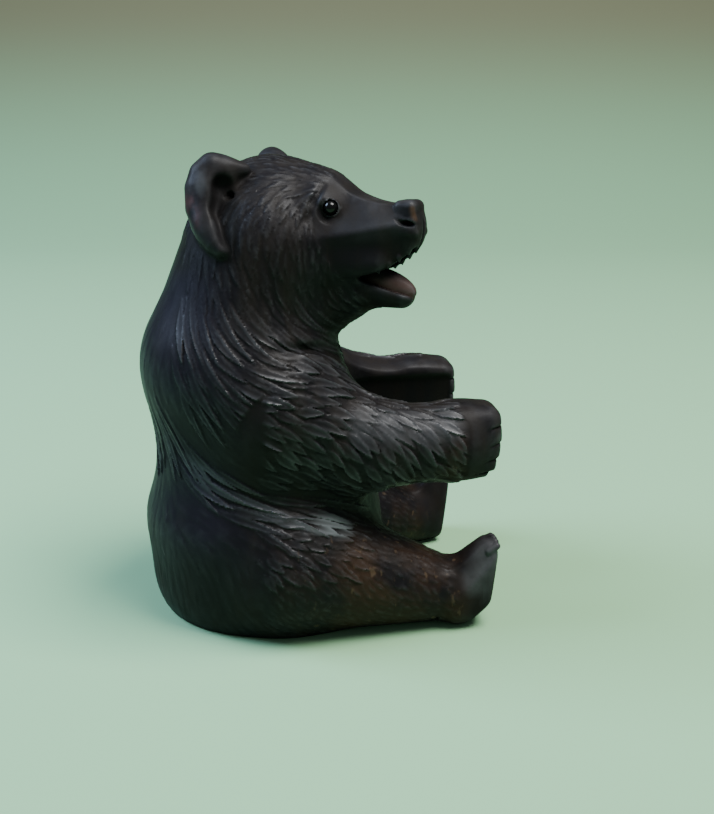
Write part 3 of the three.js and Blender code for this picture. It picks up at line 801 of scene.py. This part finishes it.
# %% The kinds of cut: how far apart along and across the hair, length, half width and depth
CUTS = {
    "arm": ((7.5, 2.6), 13.0, 1.75, 1.05),
    "thigh": ((6.0, 2.3), 10.0, 1.5, 0.8),
    "hip": ((13.0, 2.4), 27.0, 1.5, 0.95),
    "shoulder": ((12.0, 2.6), 25.0, 1.6, 0.9),
    "neck": ((7.0, 1.9), 13.0, 1.1, 0.45),
    "leg": ((3.6, 1.6), 5.5, 0.8, 0.35),
    "head": ((4.4, 1.5), 7.5, 0.9, 0.5),
    "back": ((9.0, 2.4), 15.0, 1.4, 0.14),
}
CROWD = 0.55                               # spacing of the scattered points, as a share of that across
STRAY, TILT = math.radians(4), 0.22        # how much the direction and the slant of a cut vary
LENGTHS, WIDTHS, DEPTHS = (0.8, 1.2), (0.85, 1.15), (0.7, 1.2)     # smallest and largest share
BEND_REACH = 0.4                           # where along a cut its bend is measured
chance = np.random.default_rng(11)


def chosen(centres, way, normals, apart_along, apart_across):
    """Leaves out a cut that would lie too near one before it, counting along and across the hair."""
    aside = np.cross(normals, way)
    kept = []
    for n in range(len(centres)):
        off = centres[kept] - centres[n]
        along, across, out = off @ way[n], off @ aside[n], off @ normals[n]
        near = (along / apart_along) ** 2 + (across / apart_across) ** 2 + (out / apart_along) ** 2 < 1
        if not near.any():
            kept.append(n)
    return np.array(kept)


def plan_cuts(centres, apart, length, half_width, depth):
    """One row for each cut: place, direction, normal, length, half width, depth, bend and tilt."""
    centres = centres[chance.permutation(len(centres))]
    normals = normals_of(centres, bear_form)
    way = lie_of_fur(centres, normals)
    kept = chosen(centres, way, normals, *apart)
    centres, normals, way = centres[kept], normals[kept], way[kept]
    count = len(centres)
    angle = chance.normal(0, STRAY, count)[:, None]
    way = way * np.cos(angle) + np.cross(normals, way) * np.sin(angle)
    aside = np.cross(normals, way)
    reach = length * BEND_REACH
    ahead, behind = (lie_of_fur(centres + sign * reach * way, normals) for sign in (1, -1))
    bend = np.einsum("ij,ij->i", ahead - behind, aside) / (2 * reach)
    lengths = length * chance.uniform(*LENGTHS, count)
    widths = half_width * chance.uniform(*WIDTHS, count)
    depths = depth * chance.uniform(*DEPTHS, count)
    tilt = chance.normal(0, TILT, count)
    rows = np.column_stack([centres, way, normals, lengths, widths, depths, bend, tilt])
    return rows.astype(np.float32)


holder = bpy.data.objects.new("bear skin", skin_mesh)
bpy.context.scene.collection.objects.link(holder)
cuts = []
for seed, (kind, (apart, length, half_width, depth)) in enumerate(CUTS.items()):
    centres = scattered(holder, kind, CROWD * apart[1], seed + 1)
    cuts.append(plan_cuts(centres, apart, length, half_width, depth))
    print("%-6s %5d cuts from %5d places" % (kind, len(cuts[-1]), len(centres)))
cuts = np.concatenate(cuts)
bpy.data.objects.remove(holder)

# %% How high the wood stands after all the cuts
ROOT_SHARE, WIDEST = 0.38, 0.42            # width at the root, and where a cut is widest
POINTED = 1.7                              # how quickly it narrows to its tip
STEP_WIDTH = 0.32                          # how wide the step at a cut's edge is
STEP_START = 0.35                          # how high the step already is on the outline
ROOT_HEIGHT = 0.2                          # height where the tool enters, as a share of the depth
TROUGH = 0.5                               # how much lower the middle of a cut is than its edges
FULL_FUR = 0.4                             # the share of fur at which cuts have their full height


def leaf_width(t):
    """A cut's half width along its length, t from 0 at the root to 1 at the tip."""
    opening = ROOT_SHARE + (1 - ROOT_SHARE) * rise(t, 0, WIDEST)
    closing = 1 - np.clip((t - WIDEST) / (1 - WIDEST), 0, 1) ** POINTED
    return np.where(t < WIDEST, opening, closing)


def one_cut(points, normals, row):
    """Height that one cut leaves at the points round it."""
    place, way, out = row[0:3], row[3:6], row[6:9]
    long, half_width, depth, bend, tilt = row[9:14]
    apart = points - place
    along = apart @ way
    across = apart @ np.cross(out, way) - 0.5 * bend * along * along
    t = along / long + 0.5
    width = half_width * leaf_width(t)
    inside = np.clip((width - np.abs(across)) / STEP_WIDTH + STEP_START, 0, 1)
    inside = inside * ((t > 0) & (t < 1))
    share = across / np.maximum(width, 0.2)
    trough = 1 - TROUGH + TROUGH * np.clip(share * share, 0, 1) + tilt * share
    facing = rise(normals @ out, 0.2, 0.6)
    return depth * (ROOT_HEIGHT + (1 - ROOT_HEIGHT) * t) * trough * inside * facing


LOOKUP = 2.5                               # side of the boxes that vertices are sorted into


def relief(points, normals, cuts):
    """The height of the wood above the smooth form at each point."""
    box = np.floor((points - GRID_LOW) / LOOKUP).astype(int)
    counts = np.floor((GRID_HIGH - GRID_LOW) / LOOKUP).astype(int) + 2
    number = (box[:, 0] * counts[1] + box[:, 1]) * counts[2] + box[:, 2]
    order = np.argsort(number, kind="stable")
    ranked = number[order]
    height = np.zeros(len(points), np.float32)
    for row in cuts:
        half = np.abs(row[3:6]) * row[9] / 2 + row[10] + 0.5
        low = np.floor((row[0:3] - half - GRID_LOW) / LOOKUP).astype(int)
        high = np.floor((row[0:3] + half - GRID_LOW) / LOOKUP).astype(int)
        columns = [(i * counts[1] + j) * counts[2] for i in range(low[0], high[0] + 1)
                   for j in range(low[1], high[1] + 1)]
        starts = np.searchsorted(ranked, [column + low[2] for column in columns])
        ends = np.searchsorted(ranked, [column + high[2] + 1 for column in columns])
        near = np.concatenate([order[a:b] for a, b in zip(starts, ends)])
        if len(near):
            height[near] = np.maximum(height[near], one_cut(points[near], normals[near], row))
    return height


heights = relief(skin, skin_normals, cuts) * rise(sum(skin_zones.values()), 0.0, FULL_FUR)
print("relief is up to", round(float(heights.max()), 2), "units high")
carved = skin + skin_normals * heights[:, None]

# %% [markdown]
# ## A mesh of a sensible size
#
# The half-unit grid gives several hundred thousand small faces, most of them on smooth wood where
# they do nothing. The Decimate modifier joins faces where the surface is nearly flat and keeps them
# at the edges of the cuts. Where thin flakes of wood cross, it can leave a loose scrap of a face or
# two, so everything that isn't joined to the bear is swept away afterwards.

# %% Thinning the mesh
MOST_FACES = 197000


def loose_scraps(form):
    """The vertices that aren't joined to the largest part."""
    unseen, joined_parts = set(form.verts), []
    while unseen:
        joined, fresh = [], [unseen.pop()]
        while fresh:
            vertex = fresh.pop()
            joined.append(vertex)
            linked = {edge.other_vert(vertex) for edge in vertex.link_edges} & unseen
            unseen -= linked
            fresh.extend(linked)
        joined_parts.append(joined)
    joined_parts.remove(max(joined_parts, key=len))
    return [vertex for joined in joined_parts for vertex in joined]


def swept(mesh):
    """Takes the loose scraps out of a mesh."""
    form = bmesh.new()
    form.from_mesh(mesh)
    scraps = loose_scraps(form)
    bmesh.ops.delete(form, geom=scraps, context="VERTS")
    form.to_mesh(mesh)
    form.free()
    print("scraps swept away:", len(scraps), "vertices")


def thinned(places, quads, most):
    """The same surface with fewer triangles."""
    mesh = new_mesh("bear carving", places, quads)
    holder = bpy.data.objects.new("carving", mesh)
    bpy.context.scene.collection.objects.link(holder)
    modifier = holder.modifiers.new("thin", "DECIMATE")
    modifier.ratio = most / (2 * len(quads))
    seen = holder.evaluated_get(bpy.context.evaluated_depsgraph_get())
    thin = bpy.data.meshes.new_from_object(seen)
    bpy.data.objects.remove(holder)
    bpy.data.meshes.remove(mesh)
    return thin


bear_mesh = thinned(carved, skin_quads, MOST_FACES)
swept(bear_mesh)
bear_mesh.name = "bear_carving"
print("carving:", len(bear_mesh.vertices), "vertices,", len(bear_mesh.polygons), "faces")

# %% Smooth shading, with crisp edges at the cuts
CRISP = math.radians(42)
bear_mesh.shade_smooth()
bear_mesh.set_sharp_from_angle(angle=CRISP)
bear = bpy.data.objects.new("bear_carving", bear_mesh)
bpy.context.scene.collection.objects.link(bear)
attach(bear, "root")
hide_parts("bear")
print("the carving replaces the plain solid of the same name")

# %% [markdown]
# ## Marks for the finish
#
# Handling rubs the stain off the edges, and light and shade are painted into the colour as well:
# shade in the cuts and hollows, highlights on raised cuts and ridges, so the finish follows the shape.
# The finish reads a few numbers kept on each vertex: how sharply the wood turns outward or inward,
# how deep it lies in a hollow, how high it stands above the smooth form, and where the brown places,
# the scraped and painted-highlight band, the painted highlights, the painted sheen, the painted ear
# shade and the reddish places are. They are worked out from the same formulas that made the shape.
# Blender's own Pointiness would do for the first, but it isn't kept when the model leaves Blender.

# %% How the surface bends
def mesh_edges(mesh):
    pairs = np.empty(len(mesh.edges) * 2, np.int32)
    mesh.edges.foreach_get("vertices", pairs)
    return pairs.reshape(-1, 2)


def mesh_normals(mesh):
    flat = np.empty(len(mesh.vertices) * 3, np.float32)
    mesh.vertex_normals.foreach_get("vector", flat)
    return flat.reshape(-1, 3)


def shared(values, edges):
    """Each vertex's value averaged with those of its neighbours."""
    total = values.copy()
    np.add.at(total, edges[:, 0], values[edges[:, 1]])
    np.add.at(total, edges[:, 1], values[edges[:, 0]])
    return total / (1 + np.bincount(edges.ravel(), minlength=len(values)))


def outward_bend(places, normals, edges):
    """Above 0 on a ridge and below 0 in a groove."""
    step = places[edges[:, 1]] - places[edges[:, 0]]
    step /= np.maximum(length_of(step), 1e-6)[:, None]
    bend = np.zeros(len(places), np.float32)
    np.add.at(bend, edges[:, 0], -np.einsum("ij,ij->i", step, normals[edges[:, 0]]))
    np.add.at(bend, edges[:, 1], np.einsum("ij,ij->i", step, normals[edges[:, 1]]))
    return bend / np.bincount(edges.ravel(), minlength=len(places))


def hollowness(places, out, reach):
    """0 in the open, 1 where other wood stands all round within reach."""
    return np.clip(1 - bear_form(places + out * reach) / reach, 0, 1)


# %% The marks of the carving
BEND_GAIN = 3.2                            # brings the sharpest ridges to about 1
SMALL_HOLLOW, LARGE_HOLLOW, LARGE_SHARE = 4.0, 12.0, 0.8
LIFTED_FULL = 0.8                          # units above the smooth form that count as fully raised


def near_line(points, start, end, radius):
    """1 on a line between two places, falling to 0 at the radius."""
    return rise(-away(points, limb(start, end, (radius, radius))) / radius, 0.0, 0.7)


places = mesh_places(bear_mesh)
edges = mesh_edges(bear_mesh)
bend = shared(outward_bend(places, mesh_normals(bear_mesh), edges), edges)
out = normals_of(places, bear_form)
parts = parts_of(places)
where = zones(places, out, parts)
half, on_head = parts["half"], parts["on_head"]
own_side = head_frame(places)[:, 1]
fur = np.clip(sum(where.values()), 0, 1)
leg_like = rise(parts["torso"] - parts["leg"], -6, 3) * rise(half[:, 0], -30, 5)
leg_like = leg_like * (1 - rise(half[:, 0], 40, 46))
small, large = (hollowness(places, out, reach) for reach in (SMALL_HOLLOW, LARGE_HOLLOW))
marks = {
    "ridge": np.clip(bend * BEND_GAIN, 0, 1),
    "groove": np.clip(-bend * BEND_GAIN, 0, 1),
    # how enclosed a place is; the colour uses it as painted shade
    "deep": np.maximum(small, large * LARGE_SHARE),
    "lifted": np.clip(bear_form(places) / LIFTED_FULL, 0, 1),
    "bare": 1 - fur,
    "brown": leg_like * rise(half[:, 2], 0, 6),
    # a band along the top of the thigh: scraped wood, and a painted highlight where it faces up
    "scraped_and_highlight": np.maximum(near_line(half, (-20, 36, 42), (4, 38, 40.5), 5.0),
                          near_line(half, (-52, 26, 62), (-20, 36, 46), 6.0) * 0.2),
    # places given painted highlights: the instep, the top of the arm, the side of the muzzle and the upper
    # ear
    "painted_highlight": near_line(half, (47, 41, 18), (52, 39, 27), 7.0)
    + near_line(half, (8, 38, 76), (36, 36, 74), 9.0) * 0.45
    + near_line(on_head, (27, 12, -1), (40, 8, -1), 6.0) * 0.2
    + near_line(on_head, (-15.8, 29.5, 14.5), (-15.4, 30, 10.5), 2.8) * 0.65,
    "red": near_line(on_head, (-19.0, 30, 6.5), (-16, 31, -1.5), 4.5),
    "tongue": rise(-away(on_head, TONGUE), -0.35, 0.0),
    # the back, where a bluish sheen is painted in, standing in for a cool reflection
    "painted_sheen": rise(-half[:, 0], 22, 48) * rise(half[:, 2], 10, 40) * (1 - rise(half[:, 2], 118, 128)),
    "shaded": near_line(on_head, (-9, 24.5, 10), (-5, 30.5, -6), 5.2),
    "nose patch": near_line(on_head, (46.2, 4.6, 2.6), (46.8, 4.4, -0.6), 1.3) * (own_side < 0),
}
for name, values in marks.items():
    store(bear_mesh, name, values)
    print("%-10s mean %.2f, highest %.2f" % (name, values.mean(), values.max()))

# %% [markdown]
# ## Tools for building materials
#
# A material is a graph. These helpers each add one node, feed it, and give back what it puts out, so
# that a recipe reads from top to bottom.

# %% One node at a time
def node(tree, kind, feeds=None, **settings):
    """Adds a node, with settings by name and its inputs fed with sockets or plain values."""
    made = tree.nodes.new(kind)
    for name, value in settings.items():
        setattr(made, name, value)
    for name, value in (feeds or {}).items():
        feed(tree, made.inputs[name], value)
    return made


def feed(tree, socket, value):
    if isinstance(value, bpy.types.NodeSocket):
        tree.links.new(value, socket)
    else:
        socket.default_value = value


def maths(tree, operation, *values, clamp=False):
    made = node(tree, "ShaderNodeMath", operation=operation, use_clamp=clamp)
    for socket, value in zip(made.inputs, values):
        feed(tree, socket, value)
    return made.outputs["Value"]


def times(tree, first, second, clamp=False):
    return maths(tree, "MULTIPLY", first, second, clamp=clamp)


def mixed(tree, amount, first, second):
    """One colour turned into another by an amount from 0 to 1."""
    made = node(tree, "ShaderNodeMix", data_type="RGBA")
    for number, value in ((0, amount), (6, first), (7, second)):
        feed(tree, made.inputs[number], value)
    return made.outputs[2]


def between(tree, value, low, high, to_low=0.0, to_high=1.0):
    """A value stretched from one range to another, and held at its ends."""
    sides = {"Value": value, "From Min": low, "From Max": high, "To Min": to_low, "To Max": to_high}
    return node(tree, "ShaderNodeMapRange", sides, interpolation_type="SMOOTHSTEP").outputs["Result"]


def mark(tree, name):
    return node(tree, "ShaderNodeAttribute", attribute_name=name).outputs["Fac"]


def clouds(tree, scale, detail=3.0, stretch=(1, 1, 1), turn=(0, 0, 0)):
    """Noise fixed to the object, stretched if asked."""
    place = node(tree, "ShaderNodeTexCoord").outputs["Object"]
    feeds = {"Vector": place, "Scale": stretch, "Rotation": turn}
    place = node(tree, "ShaderNodeMapping", feeds).outputs["Vector"]
    feeds = {"Vector": place, "Scale": scale, "Detail": detail}
    return node(tree, "ShaderNodeTexNoise", feeds).outputs["Fac"]


def patchy(tree, name, scale, detail, low, high, to_low=0.0, to_high=1.0):
    """A mark broken up by clouds that are stretched from one range to another."""
    patches = between(tree, clouds(tree, scale, detail), low, high, to_low, to_high)
    return times(tree, mark(tree, name), patches)


def shader_group(name, takes, gives):
    """An empty node group with named inputs and outputs."""
    tree = bpy.data.node_groups.new(name, "ShaderNodeTree")
    for side, sockets in (("INPUT", takes), ("OUTPUT", gives)):
        for socket, kind in sockets.items():
            tree.interface.new_socket(socket, in_out=side, socket_type="NodeSocket" + kind)
    return tree, node(tree, "NodeGroupInput").outputs, node(tree, "NodeGroupOutput").inputs


def use(tree, group, feeds):
    """What a node group puts out when it is fed."""
    return node(tree, "ShaderNodeGroup", feeds, node_tree=group).outputs


# %% [markdown]
# ## Shared effects
#
# Grain, wear with painted light and shade, and dust are node groups, built once. Grain gives long
# streaks and fine pores along the height of the block, as the wood was set upright. The wear group
# takes the ridge and hollow marks and breaks them up, so that no edge is rubbed evenly: the ridges
# give rubbed wear with a painted edge highlight, and the hollows a painted shade. Dust is a pale film
# in patches, with a scatter of specks.

# %% Grain
def grain_group():
    tree, given, made = shader_group("grain", {"Size": "Float"}, {"Streaks": "Float", "Height": "Float"})
    size = given["Size"]
    streaks = clouds(tree, size, 4.0, (1, 1, 0.12))
    pores = clouds(tree, times(tree, size, 5.0), 2.0, (1, 1, 0.06))
    tree.links.new(between(tree, streaks, 0.35, 0.68), made["Streaks"])
    height = maths(tree, "ADD", times(tree, pores, 0.6), times(tree, streaks, 0.4))
    tree.links.new(height, made["Height"])
    return tree


# %% Wear, with a painted edge highlight and a painted shade
def wear_and_shading_group():
    takes = {"Ridge": "Float", "Hollow": "Float", "Amount": "Float"}
    tree, given, made = shader_group("wear_and_shading", takes, {"Worn_and_lit": "Float", "Shade": "Float"})
    patches = between(tree, clouds(tree, 220.0, 3.0), 0.35, 0.65)
    uneven = maths(tree, "ADD", times(tree, patches, 0.75), 0.25)
    # The ridges, broken up, are rubbed wear and a painted edge highlight; the grooves, darkened, are a
    # painted shade.
    wear_and_light = times(tree, times(tree, given["Ridge"], uneven), given["Amount"], clamp=True)
    painted_shade = times(tree, given["Hollow"], maths(tree, "ADD", patches, 0.6), clamp=True)
    tree.links.new(wear_and_light, made["Worn_and_lit"])
    tree.links.new(painted_shade, made["Shade"])
    return tree


# %% Dust
def dust_group():
    takes = {"Size": "Float", "Amount": "Float"}
    tree, given, made = shader_group("dust", takes, {"Film": "Float", "Specks": "Float"})
    film = between(tree, clouds(tree, given["Size"], 5.0), 0.4, 0.75)
    specks = clouds(tree, times(tree, given["Size"], 4.0), 5.0, (1, 1, 0.45))
    specks = between(tree, specks, 0.62, 0.72)
    tree.links.new(times(tree, film, given["Amount"], clamp=True), made["Film"])
    tree.links.new(times(tree, specks, given["Amount"], clamp=True), made["Specks"])
    return tree


grain, wear_and_shading, dust = grain_group(), wear_and_shading_group(), dust_group()
print("node groups:", [group.name for group in bpy.data.node_groups if group.bl_idname == "ShaderNodeTree"])

# %% [markdown]
# ## Stained and waxed wood
#
# The wood is limewood or a like pale wood under a nearly black stain. Where the stain is thin, on the
# legs, it shows warm brown. Wax gives a soft sheen. It is brightest on the raised cuts and the worn
# ridges, where hands and cloths have polished it, and dullest on the bare smooth places and in the
# hollows. Light and shade are painted into the colour too: near black in the hollows, the grooves and
# the ear's hollow, lighter on raised cuts, ridges, a band on the thigh, the instep, the top of the
# arm, the side of the muzzle and the upper ear, and a bluish sheen on the back.

# %% The wood's colours
STAIN = (0.0055, 0.0048, 0.0058, 1)
STAIN_WARM = (0.0088, 0.0069, 0.0061, 1)
BROWN = (0.024, 0.013, 0.0075, 1)
PALE = (0.040, 0.041, 0.046, 1)           # stain thinned where the cloth rubs the fur, and a painted highlight on raised cuts
# rubbed wood, also the colour of painted highlights on edges and lit places
RUBBED_AND_HIGHLIGHT = (0.075, 0.078, 0.084, 1)
# scraped wood on the thigh band, lightened further as a painted highlight
SCRAPED_AND_HIGHLIGHT = (0.150, 0.162, 0.172, 1)
# near black, painted into hollows and grooves as shade
PAINTED_SHADE = (0.0015, 0.0015, 0.0014, 1)
RED = (0.055, 0.021, 0.020, 1)
TONGUE_RED = (0.050, 0.029, 0.025, 1)
NOSE_BROWN = (0.036, 0.019, 0.010, 1)
# a bluish film painted on the back as a sheen, standing in for a cool reflection
PAINTED_SHEEN = (0.0090, 0.0076, 0.0125, 1)
FLECK = (0.085, 0.055, 0.032, 1)
BUMP_STRENGTH, BUMP_HEIGHT = 0.28, 0.0003


def wood_material():
    material = bpy.data.materials.new("stained_wood")
    material.use_nodes = True
    tree = material.node_tree
    shader = tree.nodes["Principled BSDF"]
    fibres = use(tree, grain, {"Size": 160.0})
    wear_and_light = use(tree, wear_and_shading, {"Ridge": mark(tree, "ridge"), "Hollow": mark(tree, "groove"), "Amount": 1.0})
    film = use(tree, dust, {"Size": 90.0, "Amount": 1.0})
    colour = mixed(tree, fibres["Streaks"], STAIN, STAIN_WARM)
    thin_stain = patchy(tree, "brown", 55.0, 4.0, 0.38, 0.66)
    colour = mixed(tree, thin_stain, colour, BROWN)
    flecks = times(tree, mark(tree, "brown"), film["Specks"])
    colour = mixed(tree, times(tree, flecks, 0.5), colour, FLECK)
    colour = mixed(tree, patchy(tree, "red", 160.0, 3.0, 0.3, 0.7), colour, RED)
    colour = mixed(tree, mark(tree, "tongue"), colour, TONGUE_RED)
    colour = mixed(tree, mark(tree, "nose patch"), colour, NOSE_BROWN)
    # Painted sheen: a bluish film on the back stands in for the reflection of a cool light.
    painted_sheen = patchy(tree, "painted_sheen", 45.0, 5.0, 0.2, 0.8, 0.4, 1.0)
    colour = mixed(tree, painted_sheen, colour, PAINTED_SHEEN)
    # Painted shade: near black is mixed into the hollows, the grooves and the ear's hollow, standing in for
    # the shade that falls there.
    painted_shade = maths(tree, "MAXIMUM", times(tree, mark(tree, "deep"), 0.85), wear_and_light["Shade"])
    painted_shade = maths(tree, "MAXIMUM", painted_shade, times(tree, mark(tree, "shaded"), 0.85))
    colour = mixed(tree, painted_shade, colour, PAINTED_SHADE)
    # A band on the thigh is lighter: partly scraped wood, partly a painted highlight where it faces up.
    scraped_and_highlight = times(tree, mark(tree, "scraped_and_highlight"), between(tree, mark(tree, "lifted"), 0.1, 0.5))
    colour = mixed(tree, times(tree, scraped_and_highlight, 0.9), colour, SCRAPED_AND_HIGHLIGHT)
    # Raised cuts are paler: partly stain thinned by rubbing, partly a painted highlight where light catches
    # them.
    pale = maths(tree, "SUBTRACT", 1.0, times(tree, mark(tree, "brown"), 0.7))
    pale = times(tree, pale, between(tree, mark(tree, "lifted"), 0.15, 1.0, 0.0, 0.6))
    colour = mixed(tree, pale, colour, PALE)
    # Painted highlights on the instep, the top of the arm, the side of the muzzle and the upper ear.
    painted_highlight = patchy(tree, "painted_highlight", 120.0, 4.0, 0.3, 0.7, 0.5, 1.0)
    colour = mixed(tree, times(tree, painted_highlight, 0.7), colour, RUBBED_AND_HIGHLIGHT)
    # Ridges are lighter: partly rubbed wear, partly a painted highlight along the edges.
    colour = mixed(tree, times(tree, wear_and_light["Worn_and_lit"], 0.7), colour, RUBBED_AND_HIGHLIGHT)
    tree.links.new(colour, shader.inputs["Base Color"])
    rough = between(tree, fibres["Streaks"], 0.0, 1.0, 0.42, 0.54)
    rough = maths(tree, "ADD", rough, times(tree, painted_shade, 0.3))
    rough = maths(tree, "ADD", rough, times(tree, mark(tree, "bare"), 0.15))
    rough = maths(tree, "SUBTRACT", rough, times(tree, wear_and_light["Worn_and_lit"], 0.08))
    tree.links.new(rough, shader.inputs["Roughness"])
    shader.inputs["Specular IOR Level"].default_value = 0.08
    shader.inputs["Coat Roughness"].default_value = 0.3
    shader.inputs["Coat IOR"].default_value = 1.4
    raised = times(tree, between(tree, mark(tree, "lifted"), 0.3, 0.9), 0.25)
    polish = maths(tree, "ADD", raised, times(tree, wear_and_light["Worn_and_lit"], 0.2))
    unshaded = maths(tree, "SUBTRACT", 1.0, painted_shade, clamp=True)
    coat = times(tree, unshaded, maths(tree, "ADD", polish, 0.05))
    tree.links.new(coat, shader.inputs["Coat Weight"])
    height = times(tree, clouds(tree, 900.0, 3.0), 0.5)
    height = maths(tree, "ADD", times(tree, fibres["Height"], 0.5), height)
    feeds = {"Height": height, "Strength": BUMP_STRENGTH, "Distance": BUMP_HEIGHT}
    bump = node(tree, "ShaderNodeBump", feeds)
    tree.links.new(bump.outputs["Normal"], shader.inputs["Normal"])
    return material


bear_mesh.materials.clear()
bear_mesh.materials.append(wood_material())
print("wood:", bear_mesh.materials[0].name)

# %% [markdown]
# ## The eyes
#
# The eyes are black glass beads on pins, pushed into drilled sockets. Each is a smooth ball, made from
# a subdivided cube, which has no poles to pinch the highlight.

# %% Glass beads
def bead_mesh(name, centre, radius):
    """A ball from a cube whose sides are divided and pushed out to the radius."""
    ball_form = bmesh.new()
    bmesh.ops.create_cube(ball_form, size=2.0)
    bmesh.ops.subdivide_edges(ball_form, edges=ball_form.edges[:], cuts=11, use_grid_fill=True)
    for vertex in ball_form.verts:
        vertex.co = vertex.co.normalized() * radius + centre
    bmesh.ops.recalc_face_normals(ball_form, faces=ball_form.faces[:])
    mesh = bpy.data.meshes.new(name)
    ball_form.to_mesh(mesh)
    ball_form.free()
    mesh.shade_smooth()
    return mesh


def glass_material():
    material = bpy.data.materials.new("eye_glass")
    material.use_nodes = True
    tree = material.node_tree
    shader = tree.nodes["Principled BSDF"]
    film = use(tree, dust, {"Size": 700.0, "Amount": 0.25})
    colour = mixed(tree, film["Film"], (0.002, 0.002, 0.002, 1), (0.008, 0.008, 0.008, 1))
    tree.links.new(colour, shader.inputs["Base Color"])
    tree.links.new(between(tree, film["Film"], 0.0, 1.0, 0.16, 0.35), shader.inputs["Roughness"])
    shader.inputs["IOR"].default_value = 1.5
    shader.inputs["Specular IOR Level"].default_value = 0.22
    return material


eye_finish = glass_material()
for side in ("left", "right"):
    low, high = (np.array(corner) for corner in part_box("eye_" + side))
    centre, radius = Vector((low + high) / 2), float((high - low).max()) / 2
    mesh = bead_mesh("glass_eye_" + side, centre, radius)
    mesh.materials.append(eye_finish)
    eye = bpy.data.objects.new("glass_eye_" + side, mesh)
    bpy.context.scene.collection.objects.link(eye)
    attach(eye, "root")
    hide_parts("eye_" + side)
    print("eye", side, "radius", round(radius / UNIT, 2), "units")

# %% [markdown]
# ## The floor and the light
#
# The bear stands on a sheet of pale sage cloth that curves up behind it, as in a small studio, so no
# horizon shows. The cloth's colour is painted darker and more olive as it rises, a painted shade for
# the light falling off. One big soft lamp hangs above and to the right, and a weak bluish one to the
# left puts a cool sheen on the back.

# %% A sheet that curves up
SHEET_WIDTH, SHEET_FRONT, SHEET_BACK, SHEET_RISE, SHEET_BEND = 6.0, -1.6, 1.5, 2.2, 0.9
SHEET_STEPS = 24                           # in the quarter circle


def sheet_mesh():
    """A strip swept along a floor line, a quarter circle and a wall line, away from the camera."""
    bend_start = SHEET_BACK - SHEET_BEND
    line = [(SHEET_FRONT, 0.0), (bend_start, 0.0)]
    for n in range(1, SHEET_STEPS + 1):
        angle = math.pi / 2 * n / SHEET_STEPS
        line.append((bend_start + SHEET_BEND * math.sin(angle), SHEET_BEND * (1 - math.cos(angle))))
    line.append((SHEET_BACK, SHEET_RISE))
    ahead = np.array((-math.sin(CAMERA_BEARING), math.cos(CAMERA_BEARING)))
    aside = np.array((math.cos(CAMERA_BEARING), math.sin(CAMERA_BEARING)))
    corners = []
    for along, height in line:
        for across in (-SHEET_WIDTH / 2, SHEET_WIDTH / 2):
            corners.append((*(ahead * along + aside * across), height))
    faces = [(2 * n, 2 * n + 1, 2 * n + 3, 2 * n + 2) for n in range(len(line) - 1)]
    mesh = bpy.data.meshes.new("sheet")
    mesh.from_pydata(corners, [], faces)
    mesh.shade_smooth()
    return mesh


# the second colour is a painted shade, for the light falling off as the cloth rises
SHEET_COLOUR, SHEET_SHADE_COLOUR = (0.21, 0.39, 0.22, 1), (0.18, 0.185, 0.110, 1)
FADE_FROM, FADE_TO = 0.0, 0.2              # the heights, in metres, between which the painted shade darkens it
sheet_finish = bpy.data.materials.new("sage_sheet")
sheet_finish.use_nodes = True
sheet_tree = sheet_finish.node_tree
sheet_shader = sheet_tree.nodes["Principled BSDF"]
place = node(sheet_tree, "ShaderNodeTexCoord").outputs["Object"]
height = node(sheet_tree, "ShaderNodeSeparateXYZ", {"Vector": place}).outputs["Z"]
painted_falloff = between(sheet_tree, height, FADE_FROM, FADE_TO)
painted_falloff = mixed(sheet_tree, painted_falloff, SHEET_COLOUR, SHEET_SHADE_COLOUR)
sheet_tree.links.new(painted_falloff, sheet_shader.inputs["Base Color"])
sheet_shader.inputs["Roughness"].default_value = 0.95
sheet_shader.inputs["Specular IOR Level"].default_value = 0.1
floor = bpy.data.objects.new("sheet", sheet_mesh())
floor.data.materials.append(sheet_finish)
bpy.context.scene.collection.objects.link(floor)
print("sheet", SHEET_WIDTH, "m wide")

# %% Lamps and the room's own light
def lamp(name, bearing, height, distance, size, power, colour):
    """A square soft lamp at a bearing and height angle, aimed at the bear."""
    data = bpy.data.lights.new(name, "AREA")
    data.size = size
    data.energy = power
    data.color = colour
    holder = bpy.data.objects.new(name, data)
    bpy.context.scene.collection.objects.link(holder)
    aim(holder, TARGET + distance * from_bearing(math.radians(bearing), math.radians(height)), TARGET)


ROOM_COLOUR, ROOM_STRENGTH = (0.84, 0.92, 1.0, 1), 0.27
LAMPS = (                                  # bearing, height, distance, size, power and colour
    ("soft lamp above", 60, 68, 1.1, 0.6, 30, (1, 0.99, 0.97)),
    ("cool lamp at the left", -105, 42, 1.0, 0.5, 20, (0.55, 0.72, 1)),
)
room = bpy.data.worlds.new("room")
bpy.context.scene.world = room
room.use_nodes = True
room.node_tree.nodes["Background"].inputs["Color"].default_value = ROOM_COLOUR
room.node_tree.nodes["Background"].inputs["Strength"].default_value = ROOM_STRENGTH
for settings in LAMPS:
    lamp(*settings)
print(len(LAMPS), "lamps and the room's light")
